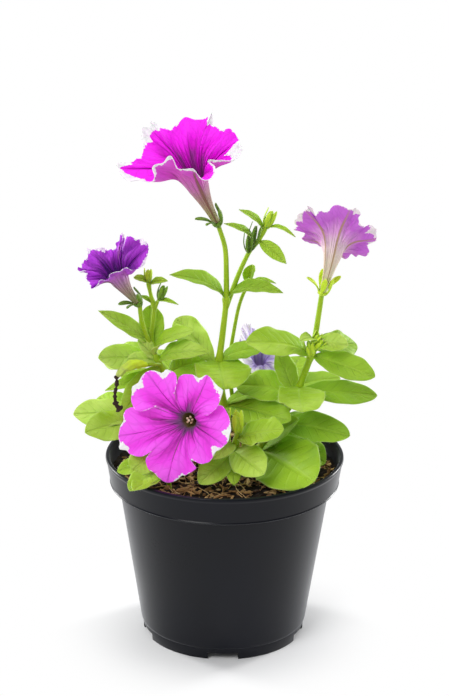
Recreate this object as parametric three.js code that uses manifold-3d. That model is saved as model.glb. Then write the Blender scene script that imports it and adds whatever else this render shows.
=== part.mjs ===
// A flowering petunia in a black nursery pot, standing on the ground.
// Millimetres, +Z up. The origin is the centre of the pot's foot, on the ground; -Y is the side that faces
// the viewer. The pot is turned about Z; each shoot grows out of its own hole in the potting mix.

import * as THREE from 'three';
import { mergeVertices } from 'three/addons/utils/BufferGeometryUtils.js';
import Module from 'manifold-3d';

const wasm = await Module();
wasm.setup();

// ---------------------------------------------------------------------------------------------- dimensions

const SEAT = 0.3; // clearance between two pieces that rest against each other
const BLADE = 0.7; // thickness of a leaf or sepal
const PETAL = 0.7; // thickness of a petal

const POT = {
  height: 119,
  rimRadius: 75,
  collarDepth: 17.5, // height of the wide band under the rim
  collarBottomRadius: 71.85,
  bodyTopRadius: 66.75,
  bodyBottomRadius: 52.2,
  wall: 1.5,
  footHeight: 8.1, // height of the set-back band at the foot
  footRadius: 51.2,
  footWidth: 2.6, // width of the ring that stands on the ground
  floor: 5.5, // underside of the floor above the ground
  notches: 5,
  notchArc: 19, // width of a notch in the foot along the ring
  notchHeight: 4.5,
  drainRadius: 4.5,
  drainPlace: 0.7, // share of the foot's radius where the drain holes lie
  edge: 0.4, // size of the small slopes at its edges
  lipDepth: 2.4, // height of the lip round the rim
  lipInset: 0.8, // how far the inner face stands back under the lip
  lipDrop: 2, // depth of the slope at the top of the inner face
  segments: 36,
};

const SOIL = {
  top: 108.5,
  dome: 2.5, // rise of the middle above the edge
  relief: 1.6, // height of the lumps
  holeDepth: 12, // how deep the shoots stand in the potting mix
  rings: [1, 0.88, 0.72, 0.54, 0.36, 0.18], // shares of its radius where its surface is set out
  chips: 42,
  chipLength: [2.6, 5.4],
  chipWidth: [1.5, 3],
  chipDepth: [2.2, 3.4],
  chipPitch: 0.9, // in radians, as its roll is
  chipRoll: 0.7,
  chipFree: 8, // no chip lies nearer than this to a shoot's hole
  chipEdge: 7, // nor nearer than this to the wall
  holeReach: 12, // how far above the surface a hole is cut
  segments: 26,
  holeSlack: 1.2, // how much wider a hole is than the foot of its shoot
  facetSlack: 0.2, // the mix and the pot have differently placed flats
  edgeSlack: 0.2,
};

const shootFoot = SOIL.top - SOIL.holeDepth;

// ------------------------------------------------------------------------------------------------- helpers

const UP = new THREE.Vector3(0, 0, 1);
const vec = (x, y, z) => new THREE.Vector3(x, y, z);
const radians = THREE.MathUtils.degToRad;

// A repeatable spread of numbers from 0 to 1.
function scatter(seed) {
  const value = Math.sin(seed * 127.1 + 11.7) * 43758.5453;
  return value - Math.floor(value);
}

const between = ([low, high], seed) => low + (high - low) * scatter(seed);

// A direction from a heading round Z (0 is +X, 90 is +Y) and a rise above the level, in degrees.
function direction(heading, rise) {
  const level = Math.cos(radians(rise));
  return vec(level * Math.cos(radians(heading)), level * Math.sin(radians(heading)), Math.sin(radians(rise)));
}

function solidOf(geometry) {
  const bare = geometry.clone();
  bare.deleteAttribute('normal');
  bare.deleteAttribute('uv');
  const joined = mergeVertices(bare, 1e-4);
  return new wasm.Manifold(new wasm.Mesh({
    numProp: 3,
    vertProperties: Float32Array.from(joined.attributes.position.array),
    triVerts: Uint32Array.from(joined.index.array),
  }));
}

function geometryOf(solid) {
  const mesh = solid.getMesh();
  const geometry = new THREE.BufferGeometry();
  geometry.setAttribute('position', new THREE.BufferAttribute(mesh.vertProperties, 3));
  geometry.setIndex(new THREE.BufferAttribute(mesh.triVerts, 1));
  geometry.computeVertexNormals();
  return geometry;
}

const SCRAP = 0.01; // volume of the largest scrap or hollow that joining may leave behind

function joinAll(solids) {
  const whole = solids.reduce((joined, solid) => joined.add(solid));
  return wasm.Manifold.compose(whole.decompose().filter((body) => body.volume() > SCRAP));
}

// A closed thin shell round surface(row, column), both 0..1: one skin half the thickness in front of it, one
// behind it, split into the same triangles, and a rim between them. A round shell closes on itself along its
// columns and is capped at its first row.
function shell(surface, rows, columns, thickness, round = false) {
  const step = 1e-4;
  const perRow = round ? columns : columns + 1;
  const positions = [];
  const index = [];
  for (const side of [1, -1]) {
    for (let i = 0; i <= rows; i += 1) {
      for (let j = 0; j < perRow; j += 1) {
        const a = i / rows;
        const b = j / columns;
        const point = surface(a, b);
        const back = Math.max(a - step, 0);
        const fore = Math.min(a + step, 1);
        const along = surface(fore, b).sub(surface(back, b));
        const left = round ? b - step : Math.max(b - step, 0);
        const right = round ? b + step : Math.min(b + step, 1);
        const across = surface(a, right).sub(surface(a, left));
        const normal = along.cross(across).normalize();
        positions.push(...point.addScaledVector(normal, side * thickness / 2).toArray());
      }
    }
  }
  const half = (rows + 1) * perRow;
  const at = (i, j) => i * perRow + (j % perRow);
  const quad = (p, q, r, s) => index.push(p, q, r, p, r, s);
  for (let i = 0; i < rows; i += 1) {
    for (let j = 0; j < columns; j += 1) {
      quad(at(i, j), at(i + 1, j), at(i + 1, j + 1), at(i, j + 1));
      const b = [at(i, j), at(i + 1, j), at(i + 1, j + 1), at(i, j + 1)].map((k) => k + half);
      index.push(b[0], b[2], b[1], b[0], b[3], b[2]);
    }
  }
  const rim = (p, q) => quad(p, p + half, q + half, q);
  for (let j = 0; j < columns; j += 1) {
    rim(at(rows, j), at(rows, j + 1));
    if (!round) rim(at(0, j + 1), at(0, j));
  }
  if (round) {
    for (const [offset, flip] of [[0, false], [half, true]]) {
      const middle = positions.length / 3;
      const centre = vec(0, 0, 0);
      for (let j = 0; j < columns; j += 1) centre.add(vec().fromArray(positions, 3 * (offset + j)));
      centre.divideScalar(columns);
      const lift = surface(0.05, 0).sub(surface(0, 0)).normalize().multiplyScalar(flip ? 0 : thickness);
      positions.push(...centre.add(lift).toArray());
      for (let j = 0; j < columns; j += 1) {
        const pair = [offset + j, offset + (j + 1) % columns];
        index.push(middle, ...(flip ? pair.reverse() : pair));
      }
    }
  } else {
    for (let i = 0; i < rows; i += 1) {
      rim(at(i, 0), at(i + 1, 0));
      rim(at(i + 1, columns), at(i, columns));
    }
  }
  const geometry = new THREE.BufferGeometry();
  geometry.setAttribute('position', new THREE.Float32BufferAttribute(positions, 3));
  geometry.setIndex(index);
  const solid = solidOf(geometry);
  if (solid.volume() > 0) return solid;
  geometry.setIndex(index.reverse());
  return solidOf(geometry);
}

const STEM_STEP = 20; // length of a stem's straight runs

// A closed tube along a path, round in section, from one radius to another; bulge widens its middle by a share,
// or narrows it where it is below 0.
function stem(path, footRadius, tipRadius, { sides = 6, bulge = 0, step = STEM_STEP } = {}) {
  const curve = new THREE.CatmullRomCurve3(path);
  const steps = Math.max(1, Math.round(curve.getLength() / step));
  const tube = new THREE.CylinderGeometry(tipRadius, footRadius, 1, sides, steps);
  const position = tube.attributes.position;
  for (let k = 0; k < position.count; k += 1) {
    const t = Math.min(Math.max(position.getY(k) + 0.5, 0), 1);
    const turn = new THREE.Quaternion().setFromUnitVectors(UP, curve.getTangentAt(t));
    const spoke = vec(position.getX(k), -position.getZ(k), 0).applyQuaternion(turn);
    spoke.multiplyScalar(1 + bulge * Math.sin(Math.PI * t));
    position.setXYZ(k, ...curve.getPointAt(t).add(spoke).toArray());
  }
  return solidOf(tube);
}

// A closed bud, calyx seat or other round lump from base to tip; widths are radii at even steps between.
function lump(base, tip, widths, sides = 5) {
  const length = base.distanceTo(tip);
  const inner = widths.map((r, k) => new THREE.Vector2(r, length * k / (widths.length - 1)));
  const profile = [new THREE.Vector2(0, 0), ...inner, new THREE.Vector2(0, length)];
  const whole = new THREE.LatheGeometry(profile, sides);
  whole.applyQuaternion(new THREE.Quaternion().setFromUnitVectors(vec(0, 1, 0), tip.clone().sub(base).normalize()));
  whole.translate(...base.toArray());
  return solidOf(whole);
}

// ----------------------------------------------------------------------------------------- leaves and sepals

// Half-width along a blade: how fast it widens from the base and narrows to the tip.
const OUTLINES = { ovate: [0.8, 0.66], lance: [0.9, 0.95], broad: [0.45, 0.5], spoon: [1.35, 0.6] };
const STALK = 0.8; // half-width where a blade leaves its stem
const POINT = 0.35; // half-width at its tip
const CROWDING = 1.25; // rows of a blade stand closer together toward its tip

function halfWidth(u, width, outline) {
  const [rise, fall] = OUTLINES[outline];
  const widest = rise / (rise + fall);
  const share = (u / widest) ** rise * ((1 - u) / (1 - widest)) ** fall;
  return Math.max(width / 2 * share, u < 0.5 ? STALK : POINT);
}

// A blade from base to tip. arch bows it upward by a share of its length, roll turns it about its midrib,
// cup lifts both edges and wave ripples them by a share of the half-width.
function blade(base, tip, { width, outline = 'ovate', arch = 0.1, roll = 0, cup = 0.2, wave = 0, phase = 0,
  up = UP, rows = 5, columns = 4 }) {
  const chord = tip.clone().sub(base);
  const length = chord.length();
  const ahead = chord.clone().divideScalar(length);
  const level = up.clone().addScaledVector(ahead, -ahead.dot(up)).normalize();
  const normal = level.applyAxisAngle(ahead, radians(roll));
  const side = new THREE.Vector3().crossVectors(ahead, normal);
  const middle = (u) => base.clone().addScaledVector(chord, u)
    .addScaledVector(normal, length * arch * Math.sin(Math.PI * u ** 0.75));
  return shell((a, b) => {
    const u = 1 - (1 - a) ** CROWDING;
    const v = 2 * b - 1;
    const half = halfWidth(u, width, outline);
    const before = Math.max(u - 1e-3, 0);
    const forward = middle(Math.min(u + 1e-3, 1)).sub(middle(before)).normalize();
    const lift = new THREE.Vector3().crossVectors(side, forward);
    const ripple = wave * v * v * Math.sin(3 * Math.PI * u + phase + (v > 0 ? 2.2 : 0));
    const height = half * (cup * Math.abs(v) ** 1.3 + ripple);
    return middle(u).addScaledVector(side, v * half).addScaledVector(lift, height);
  }, rows, columns, BLADE);
}

// ------------------------------------------------------------------------------------------------- corollas

const TUBE_SHARE = 0.4; // share of a corolla's rows that lie in its tube
const TUBE_FLARE = 1.8; // how late the tube widens toward its throat
const CLIMB = 0.8; // the limb starts steeply: its first handle takes this share of its climb
const FLARE = 0.12; // and this share of its reach outward
const ARRIVAL = 0.42; // share of its reach at which it has turned toward the margin
const FRILL_PLACE = 0.25; // where a frill stands between a petal's tip (0) and its seam (1)
const FRILL_WIDTH = 0.15;

// A trumpet that leaves the calyx at base, opens round throat along axis and ends in its margin. petals gives,
// round the margin, for each petal, the points from its tip to the next petal, the middle one in the seam
// between them, and last how far its frills stand out before and after the tip.
function corolla({ base, throat, axis, tube, opening, petals, rise, perPetal }) {
  const foot = vec(...base);
  const mouth = vec(...throat);
  const face = vec(...axis).normalize();
  const across = vec(1, 0, 0).addScaledVector(face, -face.x).normalize();
  const upward = new THREE.Vector3().crossVectors(face, across);
  const bend = mouth.clone().addScaledVector(face, -foot.distanceTo(mouth) / 2);
  const middle = new THREE.QuadraticBezierCurve3(foot, bend, mouth);
  const points = petals.flatMap((row) => row.slice(0, -1)).map((point) => vec(...point));
  const margin = new THREE.CatmullRomCurve3(points, true, 'catmullrom', 0.5);

  const headings = [];
  for (const row of petals) {
    for (const place of [0, (row.length - 1) / 2]) {
      const out = vec(...row[place]).sub(mouth);
      const heading = Math.atan2(out.dot(upward), out.dot(across));
      const turns = Math.round((heading - (headings.at(-1) ?? heading)) / (2 * Math.PI));
      headings.push(heading - turns * 2 * Math.PI);
    }
  }
  headings.push(headings[0] + Math.sign(headings.at(-1) - headings[0]) * 2 * Math.PI);

  // The curve from the throat to the margin, in the direction of a spoke.
  function limb(k, t, spoke) {
    const seam = 1 - Math.abs(2 * t - 1);
    const beside = t < 0.5 ? petals[k].at(-1)[1] : petals[(k + 1) % petals.length].at(-1)[0];
    const frill = beside * Math.exp(-(((seam - FRILL_PLACE) / FRILL_WIDTH) ** 2));
    const root = mouth.clone().addScaledVector(spoke, opening);
    const end = margin.getPoint((k + t) / petals.length);
    end.addScaledVector(end.clone().sub(root).normalize(), frill);
    const chord = end.clone().sub(root);
    const reach = chord.length();
    const climb = chord.dot(face);
    const flat = chord.clone().addScaledVector(face, -climb).normalize();
    const steep = THREE.MathUtils.clamp(climb / reach, 0, 1);
    const first = root.clone().addScaledVector(face, Math.max(CLIMB * climb, rise))
      .addScaledVector(spoke, FLARE * reach);
    const arriving = flat.multiplyScalar(1 - steep).addScaledVector(chord, steep / reach).normalize();
    const last = end.clone().addScaledVector(arriving, -ARRIVAL * reach);
    return new THREE.CubicBezierCurve3(root, first, last, end);
  }

  return shell((s, b) => {
    const around = (((b % 1) + 1) % 1) * petals.length;
    const k = Math.min(Math.floor(around), petals.length - 1);
    const t = around - k;
    const half = Math.min(Math.floor(2 * around), headings.length - 2);
    const angle = headings[half] + (headings[half + 1] - headings[half]) * (2 * around - half);
    const spoke = across.clone().multiplyScalar(Math.cos(angle)).addScaledVector(upward, Math.sin(angle));
    if (s > TUBE_SHARE) return limb(k, t, spoke).getPoint((s - TUBE_SHARE) / (1 - TUBE_SHARE));
    const q = s / TUBE_SHARE;
    const turn = new THREE.Quaternion().setFromUnitVectors(face, middle.getTangent(q));
    return middle.getPoint(q).addScaledVector(spoke.applyQuaternion(turn), tube + (opening - tube) * q ** TUBE_FLARE);
  }, 5, perPetal * petals.length, PETAL, true);
}

const BLOOMS = {
  front: {
    base: [-10.6, -16.7, 150.8], throat: [-22, -44, 158], axis: [-0.38, -0.91, 0.14], tube: 1.8, opening: 5.2,
    petals: [
      [[-10.5, -52.5, 190], [-23.5, -48.5, 189], [-30.5, -49, 179.5], [-33, -44, 189.5], [0, 0]],
      [[-48.5, -36.5, 186], [-56, -39.5, 167], [-48, -43.5, 165.5], [-60.5, -36.5, 160.5], [0, 0]],
      [[-65, -36, 143.5], [-57, -43, 134.5], [-47, -48.5, 137.5], [-47, -48, 128.5], [0, 0]],
      [[-34.5, -54, 121], [-18.5, -58.5, 130], [-19.5, -59.5, 136.5], [-9.5, -61, 138.5], [0, 0]],
      [[-0.5, -62, 149], [2, -60.5, 166.5], [-8.5, -60.5, 170], [-3, -60, 176.5], [0, 0]],
    ],
    rise: 5, colour: 0xe23bd8, perPetal: 8,
  },
  top: {
    base: [-6.4, -7, 273], throat: [-17.5, -13, 297], axis: [-0.38, -0.2, 0.9], tube: 2.2, opening: 6.5,
    petals: [
      [[7, -6, 323], [5.5, -4, 325.5], [2.5, -2, 329], [-1, 0, 329],
        [-3, 2, 327.5], [-6, 4, 328.5], [-9, 6, 329.5], [-10, 8, 331.5], [5, 0]],
      [[-11.5, 10, 334], [-17, 10, 331.5], [-25.5, 10, 333.5], [-30, 8, 330],
        [-34, 6, 327], [-37, 5.5, 327.5], [-40.5, 5, 327.5], [-43, 4.5, 327.5], [5, 0]],
      [[-45.5, 4, 326.5], [-48, 1, 322.5], [-49.5, -2, 318.5], [-51, -5, 315],
        [-52, -8, 313.5], [-55, -11, 312.5], [-57.5, -14, 311.5], [-61, -16, 310], [5, 5]],
      [[-64, -18, 308.5], [-55, -26, 303.5], [-46.5, -30, 303.5], [-43, -32, 307.5],
        [-44.5, -27, 312.5], [-38.5, -27, 315], [-34, -26, 319], [-29.5, -29, 312.5], [4, 4]],
      [[-20, -33, 313], [-15, -37, 306.5], [-9, -36, 309], [-7, -31, 314],
        [-12, -24, 316], [-4, -20, 315], [3.5, -18, 313.5], [4, -11, 317.5], [0, 1.5]],
    ],
    rise: 3, colour: 0xea2be6, perPetal: 8,
  },
  left: {
    base: [-54.6, -11, 222.8], throat: [-64.5, -15.5, 238], axis: [-0.45, -0.15, 0.88], tube: 2, opening: 5.5,
    petals: [
      [[-65, 4, 261], [-65.5, 4, 257.5], [-67.5, 3, 255.5], [-68, 2, 253],
        [-69.5, 1, 252], [-71, 0.5, 252.5], [-73, 0, 252], [-76.5, -2, 253], [1, 0]],
      [[-81, -4, 253.5], [-84.5, -6, 253], [-84, -9, 250.5], [-86, -11, 249],
        [-87, -13, 248.5], [-88, -14, 247.5], [-87.5, -16, 246.5], [-88.5, -18, 247], [1.5, 1]],
      [[-90, -20, 246.5], [-88, -21, 245.5], [-85, -23, 246], [-84, -24, 245],
        [-85, -26, 243], [-84, -28, 242], [-83, -29, 241], [-82, -31, 239.5], [0.5, 0.5]],
      [[-81, -32, 238], [-75.5, -34, 242.5], [-71, -34, 244.5], [-69.5, -32, 247.5],
        [-64, -29, 248], [-60.5, -25, 249.5], [-56.5, -22, 246], [-50, -15, 248.5], [0, 0]],
      [[-47.5, -9, 256.5], [-50.5, -6, 259.5], [-56, -3, 260.5], [-61, -1, 261],
        [-62.5, 0, 252], [-63, 2, 256.5], [-62.5, 3, 260], [-63.5, 4, 260.5], [0.5, 1]],
    ],
    rise: 3, colour: 0x8a35b8, perPetal: 6,
  },
  right: {
    base: [59.5, -1, 227.8], throat: [65, 1.5, 252], axis: [0.16, 0.6, 0.78], tube: 2.1, opening: 6.2,
    petals: [
      [[48, -3, 279], [50.5, -4, 279.5], [53, -5, 278], [54.5, -6, 277.5],
        [56, -7, 280.5], [60, -8, 280], [64, -9, 283.5], [67.5, -10, 285.5], [2.5, 2.5]],
      [[74.5, -9, 281.5], [78, -8, 280], [80.5, -6, 278], [80, -4, 274.5],
        [81.5, -2, 270.5], [84, 0, 268.5], [87.5, 2, 268.5], [88.5, 4, 264], [1, 1.5]],
      [[91.5, 8, 258], [89.5, 10, 255.5], [87, 12, 253], [88, 14, 248],
        [86, 16, 244.5], [82.5, 18, 245.5], [80.5, 20, 243], [77.5, 21, 243.5], [3, 1]],
      [[73.5, 23, 241], [67.5, 26, 243.5], [64, 27, 244.5], [60.5, 28, 246],
        [58.5, 28, 247.5], [56.5, 27, 248.5], [52.5, 26, 249.5], [49, 24, 252], [0, 0]],
      [[46.5, 22, 254], [48.5, 19, 257], [47.5, 16, 261], [42, 13, 262],
        [41.5, 11, 264], [44.5, 9, 266], [42, 6, 268.5], [43.5, 2, 272.5], [0, 0]],
    ],
    rise: 3, colour: 0xb36cc4, perPetal: 6,
  },
  back: {
    base: [21, 24, 160], throat: [21.5, 26, 167.5], axis: [-0.05, 0.15, 0.98], tube: 1.6, opening: 3.2,
    petals: [
      [[33, 24, 170], [34, 30, 173], [32, 36, 178.5], [31, 39, 181.5], [0, 0]],
      [[27, 41, 184.5], [23.5, 42, 185.5], [20, 42, 186], [17, 41, 188.5], [0, 0]],
      [[13, 38, 192], [10, 34, 191], [10.5, 30, 189], [9, 26, 187], [0, 0]],
      [[9, 22, 184], [10, 17, 178], [13, 14, 172], [17, 12, 168], [0, 0]],
      [[22, 11, 166.5], [27, 12, 167], [31, 15, 167], [33, 19, 168], [0, 0]],
    ],
    rise: 5, colour: 0xb9a0d8, perPetal: 4,
  },
};

// --------------------------------------------------------------------------------------------------- shoots

// Each stem: the shoot that it belongs to, its radius at the foot and at the tip, and its route. One that
// carries a bloom goes on from there to the bloom's calyx.
const STEMS = {
  main: ['main_shoot', 2.8, 1.4, [[1.8, 3.6, shootFoot], [1.5, 3.3, 112], [0.5, 2.5, 140], [-4, 0, 176],
    [-2, 0, 198], [0, -1, 220], [0, -2, 239], [-1, -4, 256]]],
  side: ['main_shoot', 1.7, 1.2, [[0, -1, 216], [5, 1, 230], [9, 3, 240], [15, 5, 252], [20, 6, 258], [24, 7, 266]]],
  thin: ['thin_shoot', 1.5, 1.1, [[9, 14, shootFoot], [8.6, 14, 112], [6, 13, 140], [2.5, 11.5, 174],
    [5, 11.5, 196], [9, 12, 216], [14, 13, 228]]],
  left: ['left_shoot', 2.4, 1.3, [[-14, 0, shootFoot], [-14.5, 0, 112], [-18, 0, 130], [-23, 0, 152],
    [-37, -2, 173], [-44, -2, 184], [-46, 0, 195], [-45, 1, 206], [-44, 2, 217]]],
  leftPedicel: ['left_shoot', 1.6, 1.4, [[-45, -1, 188], [-49, -4, 198], [-52, -8, 211]]],
  leftTop: ['left_shoot', 1.3, 1.1, [[-44, 2, 214], [-47, 3, 225], [-48, 3, 232]]],
  darkStalk: ['left_shoot', 1.1, 0.9, [[-44, 2, 213], [-42.5, 0, 218], [-41, -0.5, 222]]],
  spentPedicel: ['left_shoot', 1.0, 1.2, [[-40, -2.5, 179], [-43.5, -8, 181], [-48.4, -13.6, 182.5]]],
  right: ['right_shoot', 2.8, 1.6, [[20, 4, shootFoot], [20.4, 3.4, 112], [24, 0, 126], [34, -2, 142],
    [44, -4, 160], [50, -6, 178], [53, -6, 188], [55, -5, 198], [57, -2, 211]]],
  front: ['front_shoot', 1.9, 1.3, [[7, -29.5, shootFoot], [6.5, -29.3, 112], [5, -28, 130], [8, -31, 146]]],
  frontPedicel: ['front_pedicel', 1.5, 1.3, [[-8, -9.5, shootFoot], [-7.8, -9.3, 112], [-6, -8, 138]]],
  lowLeft: ['low_left_shoot', 1.7, 1.2, [[-32, -16, shootFoot], [-33, -16, 112], [-44, -14, 132], [-54, -10, 150]]],
  lowFront: ['low_front_shoot', 1.6, 1.2, [[-34, -32, shootFoot], [-34.5, -32.5, 112], [-40, -35, 124],
    [-43, -33, 132]]],
  backLeft: ['back_left_shoot', 1.9, 1.3, [[-20, 26, shootFoot], [-21, 27, 112], [-27, 33, 136], [-32, 38, 152]]],
  backRight: ['back_right_shoot', 1.9, 1.3, [[28, 28, shootFoot], [29, 29, 112], [35, 35, 132], [40, 42, 148]]],
  backPedicel: ['back_pedicel', 1.4, 1.3, [[12, 25, shootFoot], [12, 25, 112], [14.5, 24.5, 140]]],
};

// Each leaf: its stem, the height where it grows from it, its heading, rise and length, its width, then arch,
// roll, cup and outline.
const LEAVES = {
  // main stem and its fork
  fork_left: ['main', 221, -168, 28, 39, 15, 0.15, -22, 0.35, 'lance'],
  fork_right: ['main', 222, -11, 10, 35, 15, 0.17, 15, 0.3, 'lance'],
  main_front: ['main', 181, -82, -14, 31, 35, 0.03, 0, 0.16, 'broad'],
  main_oblong: ['main', 175, 155, 45, 41, 20, 0.06, -34, 0.12, 'spoon'],
  main_back: ['main', 181, 8, 16, 27, 16, 0.1, 22, 0.1, 'ovate'],
  main_low: ['main', 150, -33, 1, 48, 25, 0.05, 22, 0.1, 'ovate'],
  side_a: ['side', 254, -157, 41, 25, 7, 0.2, -30, 0.3, 'lance'],
  side_b: ['side', 263, -165, 45, 21, 7, 0.15, -30, 0.3, 'lance'],
  side_c: ['side', 264, -15, -9, 19, 5, 0.2, 10, 0.3, 'lance'],
  side_d: ['side', 257, -36, -27, 23, 9, 0.1, 40, 0.3, 'lance'],
  // thin stem
  thin_up: ['thin', 227, -59, 76, 14, 9, 0.05, 0, 0.3, 'ovate'],
  thin_right: ['thin', 227, -23, 9, 18, 5, 0.15, 10, 0.3, 'lance'],
  // left stem
  left_a: ['left', 192, -159, 37, 42, 12, 0.06, -50, 0.3, 'lance'],
  left_b: ['left', 189, 96, 61, 27, 16, 0.05, 0, 0.12, 'ovate'],
  left_c: ['left', 189, -6, 27, 28, 14, 0.12, 22, 0.2, 'ovate'],
  left_d: ['left', 181, -20, 17, 35, 17, 0.15, 28, 0.2, 'lance'],
  left_e: ['left', 185, 163, -15, 33, 20, 0.1, -38, 0.12, 'ovate'],
  left_f: ['left', 184, -149, 9, 39, 18, -0.03, -50, 0.12, 'ovate'],
  left_g: ['left', 182, -158, 52, 18, 10, 0.1, -58, 0.3, 'ovate'],
  left_h: ['left', 181, -148, 14, 21, 9, 0.1, -40, 0.3, 'ovate'],
  left_i: ['left', 182, -70, 60, 14, 7, 0.15, 25, 0.5, 'lance'],
  left_p: ['left', 178, -146, -45, 36, 17, 0.08, -45, 0.1, 'ovate'],
  left_q: ['left', 174, -170, -16, 38, 9, 0.05, -40, 0.2, 'lance'],
  left_m: ['left', 172, 16, 17, 25, 20, 0.1, 30, 0.15, 'ovate'],
  left_r: ['left', 190, 34, 16, 14, 10, 0.1, 0, 0.2, 'ovate'],
  left_top_a: ['leftTop', 230, -160, 27, 10, 6, 0.15, -30, 0.3, 'ovate'],
  left_top_b: ['leftTop', 229, -15, 18, 12, 6, 0.15, 30, 0.3, 'lance'],
  left_node_a: ['leftTop', 217, 165, 30, 9, 4, 0.1, -20, 0.3, 'lance'],
  left_node_b: ['leftTop', 217, -22, 6, 16, 4, 0.2, 20, 0.3, 'lance'],
  // low on the left
  low_a: ['lowLeft', 148, -163, 7, 42, 21, 0.04, -38, 0.12, 'ovate'],
  low_b: ['lowLeft', 146, -142, 1, 42, 21, 0.03, -42, 0.12, 'ovate'],
  low_c: ['lowLeft', 149, 146, 5, 32, 15, 0.1, -30, 0.2, 'ovate'],
  low_d: ['lowFront', 119, -120, 2, 34, 15, 0.03, 0, 0.12, 'ovate'],
  low_e: ['lowFront', 120, -128, -4, 31, 16, 0.1, -10, 0.2, 'ovate'],
  low_f: ['lowFront', 131, -146, -24, 18, 18, 0.08, -30, 0.12, 'ovate'],
  low_g: ['lowFront', 127, -165, -10, 25, 13, 0.08, -30, 0.12, 'ovate'],
  // right stem
  right_a: ['right', 187, -163, 17, 43, 25, 0.12, -25, 0.12, 'ovate'],
  right_b: ['right', 160, 151, 65, 29, 15, 0.03, -30, 0.15, 'ovate'],
  right_c: ['right', 187, -17, -13, 41, 19, 0.02, 36, 0.12, 'ovate'],
  right_d: ['right', 191, 38, -7, 35, 20, 0.05, 35, 0.1, 'ovate'],
  right_e: ['right', 163, 10, -7, 50, 17, 0.02, 42, 0.1, 'ovate'],
  right_f: ['right', 166, -88, -9, 31, 29, 0.03, 0, 0.1, 'broad'],
  right_g: ['right', 141, -20, -3, 46, 21, 0.05, 38, 0.1, 'ovate'],
  right_h: ['right', 132, -17, -22, 39, 26, 0.06, 30, 0.12, 'ovate'],
  right_i: ['right', 121, -60, 2, 64, 42, 0.04, 34, 0.12, 'ovate'],
  right_l: ['right', 158, 172, 10, 36, 24, 0.14, -30, 0.12, 'ovate'],
  right_n: ['right', 122, -35, 44, 38, 16, 0.05, 60, 0.5, 'ovate'],
  right_s: ['right', 193, -127, 30, 15, 9, 0.3, -20, 0.3, 'ovate'],
  right_t: ['right', 194, -18, 6, 21, 14, 0.1, 35, 0.2, 'ovate'],
  // low in front
  front_j: ['front', 132, -56, -7, 33, 22, 0.08, 35, 0.12, 'ovate'],
  front_k: ['front', 141, -18, 18, 31, 24, 0.05, 25, 0.12, 'ovate'],
  front_s: ['front', 129, -130, -17, 32, 17, 0.08, -30, 0.12, 'ovate'],
  front_t: ['front', 137, -122, -4, 24, 12, 0.1, -20, 0.15, 'ovate'],
  front_u: ['front', 126, -88, -19, 23, 10, 0.1, 0, 0.2, 'ovate'],
  // behind
  back_a: ['backLeft', 151, 120, 25, 32, 20, 0.1, 0, 0.15, 'ovate'],
  back_b: ['backLeft', 148, 178, 12, 36, 19, 0.1, -10, 0.15, 'ovate'],
  back_c: ['backLeft', 145, 62, 18, 32, 20, 0.1, 10, 0.15, 'ovate'],
  back_d: ['backLeft', 134, 100, -4, 36, 21, 0.12, 0, 0.12, 'ovate'],
  back_e: ['backLeft', 126, 165, -2, 38, 21, 0.12, 0, 0.12, 'ovate'],
  back_g: ['backRight', 147, 70, 25, 30, 19, 0.1, 0, 0.15, 'ovate'],
  back_h: ['backRight', 144, 10, 14, 36, 19, 0.1, 10, 0.15, 'ovate'],
  back_i: ['backRight', 141, 128, 18, 32, 19, 0.1, -10, 0.15, 'ovate'],
  back_j: ['backRight', 130, 85, -4, 34, 21, 0.12, 0, 0.12, 'ovate'],
  back_k: ['backRight', 124, 25, -2, 38, 21, 0.12, 0, 0.12, 'ovate'],
  main_rear: ['main', 150, 12, 14, 30, 19, 0.1, 0, 0.1, 'ovate'],
};

// Each closed bud: its shoot, its foot, its tip and its widest radius.
const BUDS = {
  side_bud: ['main_shoot', [24, 7, 265], [28, 7, 276], 2.9],
  fork_bud_a: ['main_shoot', [14.5, 4.8, 251], [18.5, 2.5, 268], 1.7],
  fork_bud_b: ['main_shoot', [13.5, 4.5, 250], [13.5, 0, 263], 1.5],
  left_bud: ['left_shoot', [-48, 3, 231], [-48, 3, 239], 2.4],
  left_dark_bud: ['left_shoot', [-41, -0.5, 221], [-38, -1, 230], 2.4],
  right_bud: ['right_shoot', [53, -6, 187], [51, -13, 198], 2.4],
  right_dark_bud_a: ['right_shoot', [54, -6, 191], [60, -11, 199], 2.2],
  right_dark_bud_b: ['right_shoot', [54, -6, 193], [57.5, -7, 202], 1.9],
  front_bud: ['front_shoot', [8, -31, 145], [7, -34, 161], 3.4],
};

// Five sepals round the foot of each bloom: the stem that carries it, their length and how far each spreads.
const CALYCES = {
  front: ['frontPedicel', 11, [30, 30, 30, 30, 30]],
  top: ['main', 13, [28, 40, 46, 24, 14]],
  left: ['leftPedicel', 11, [16, 46, 42, 26, 14]],
  right: ['right', 14, [24, 44, 8, 8, 44]],
  back: ['backPedicel', 9, [32, 32, 32, 32, 32]],
};

const SEPAL_WIDTH = 3.6;
const SEPAL_ROOT = 2.4; // distance of a sepal's root from the tube's axis
const SEPAL_DEPTH = 1.6; // how far below the cup's top a sepal starts
const SEPAL_BOW = -0.08; // outward, as a share of its length
const SEPAL_TURN = 20; // heading of the first one, in degrees
const CUP_DEPTH = 3.8; // the green cup that a corolla sits in
const CUP_WIDTHS = [1.5, 2.5, 3.1, 3.1]; // its radii from the foot up
const BUD_SHARES = [0.5, 1, 0.85, 0.3]; // a bud's radii from the foot up, in shares of its widest

// The way a bloom's tube starts out, and the top and the foot of the cup under it.
function cupOf(name) {
  const base = vec(...BLOOMS[name].base);
  const throat = vec(...BLOOMS[name].throat);
  const bend = throat.clone().addScaledVector(vec(...BLOOMS[name].axis).normalize(), -base.distanceTo(throat) / 2);
  const ahead = bend.sub(base).normalize();
  const top = base.addScaledVector(ahead, -SEAT);
  return { ahead, top, foot: top.clone().addScaledVector(ahead, -CUP_DEPTH) };
}

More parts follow.
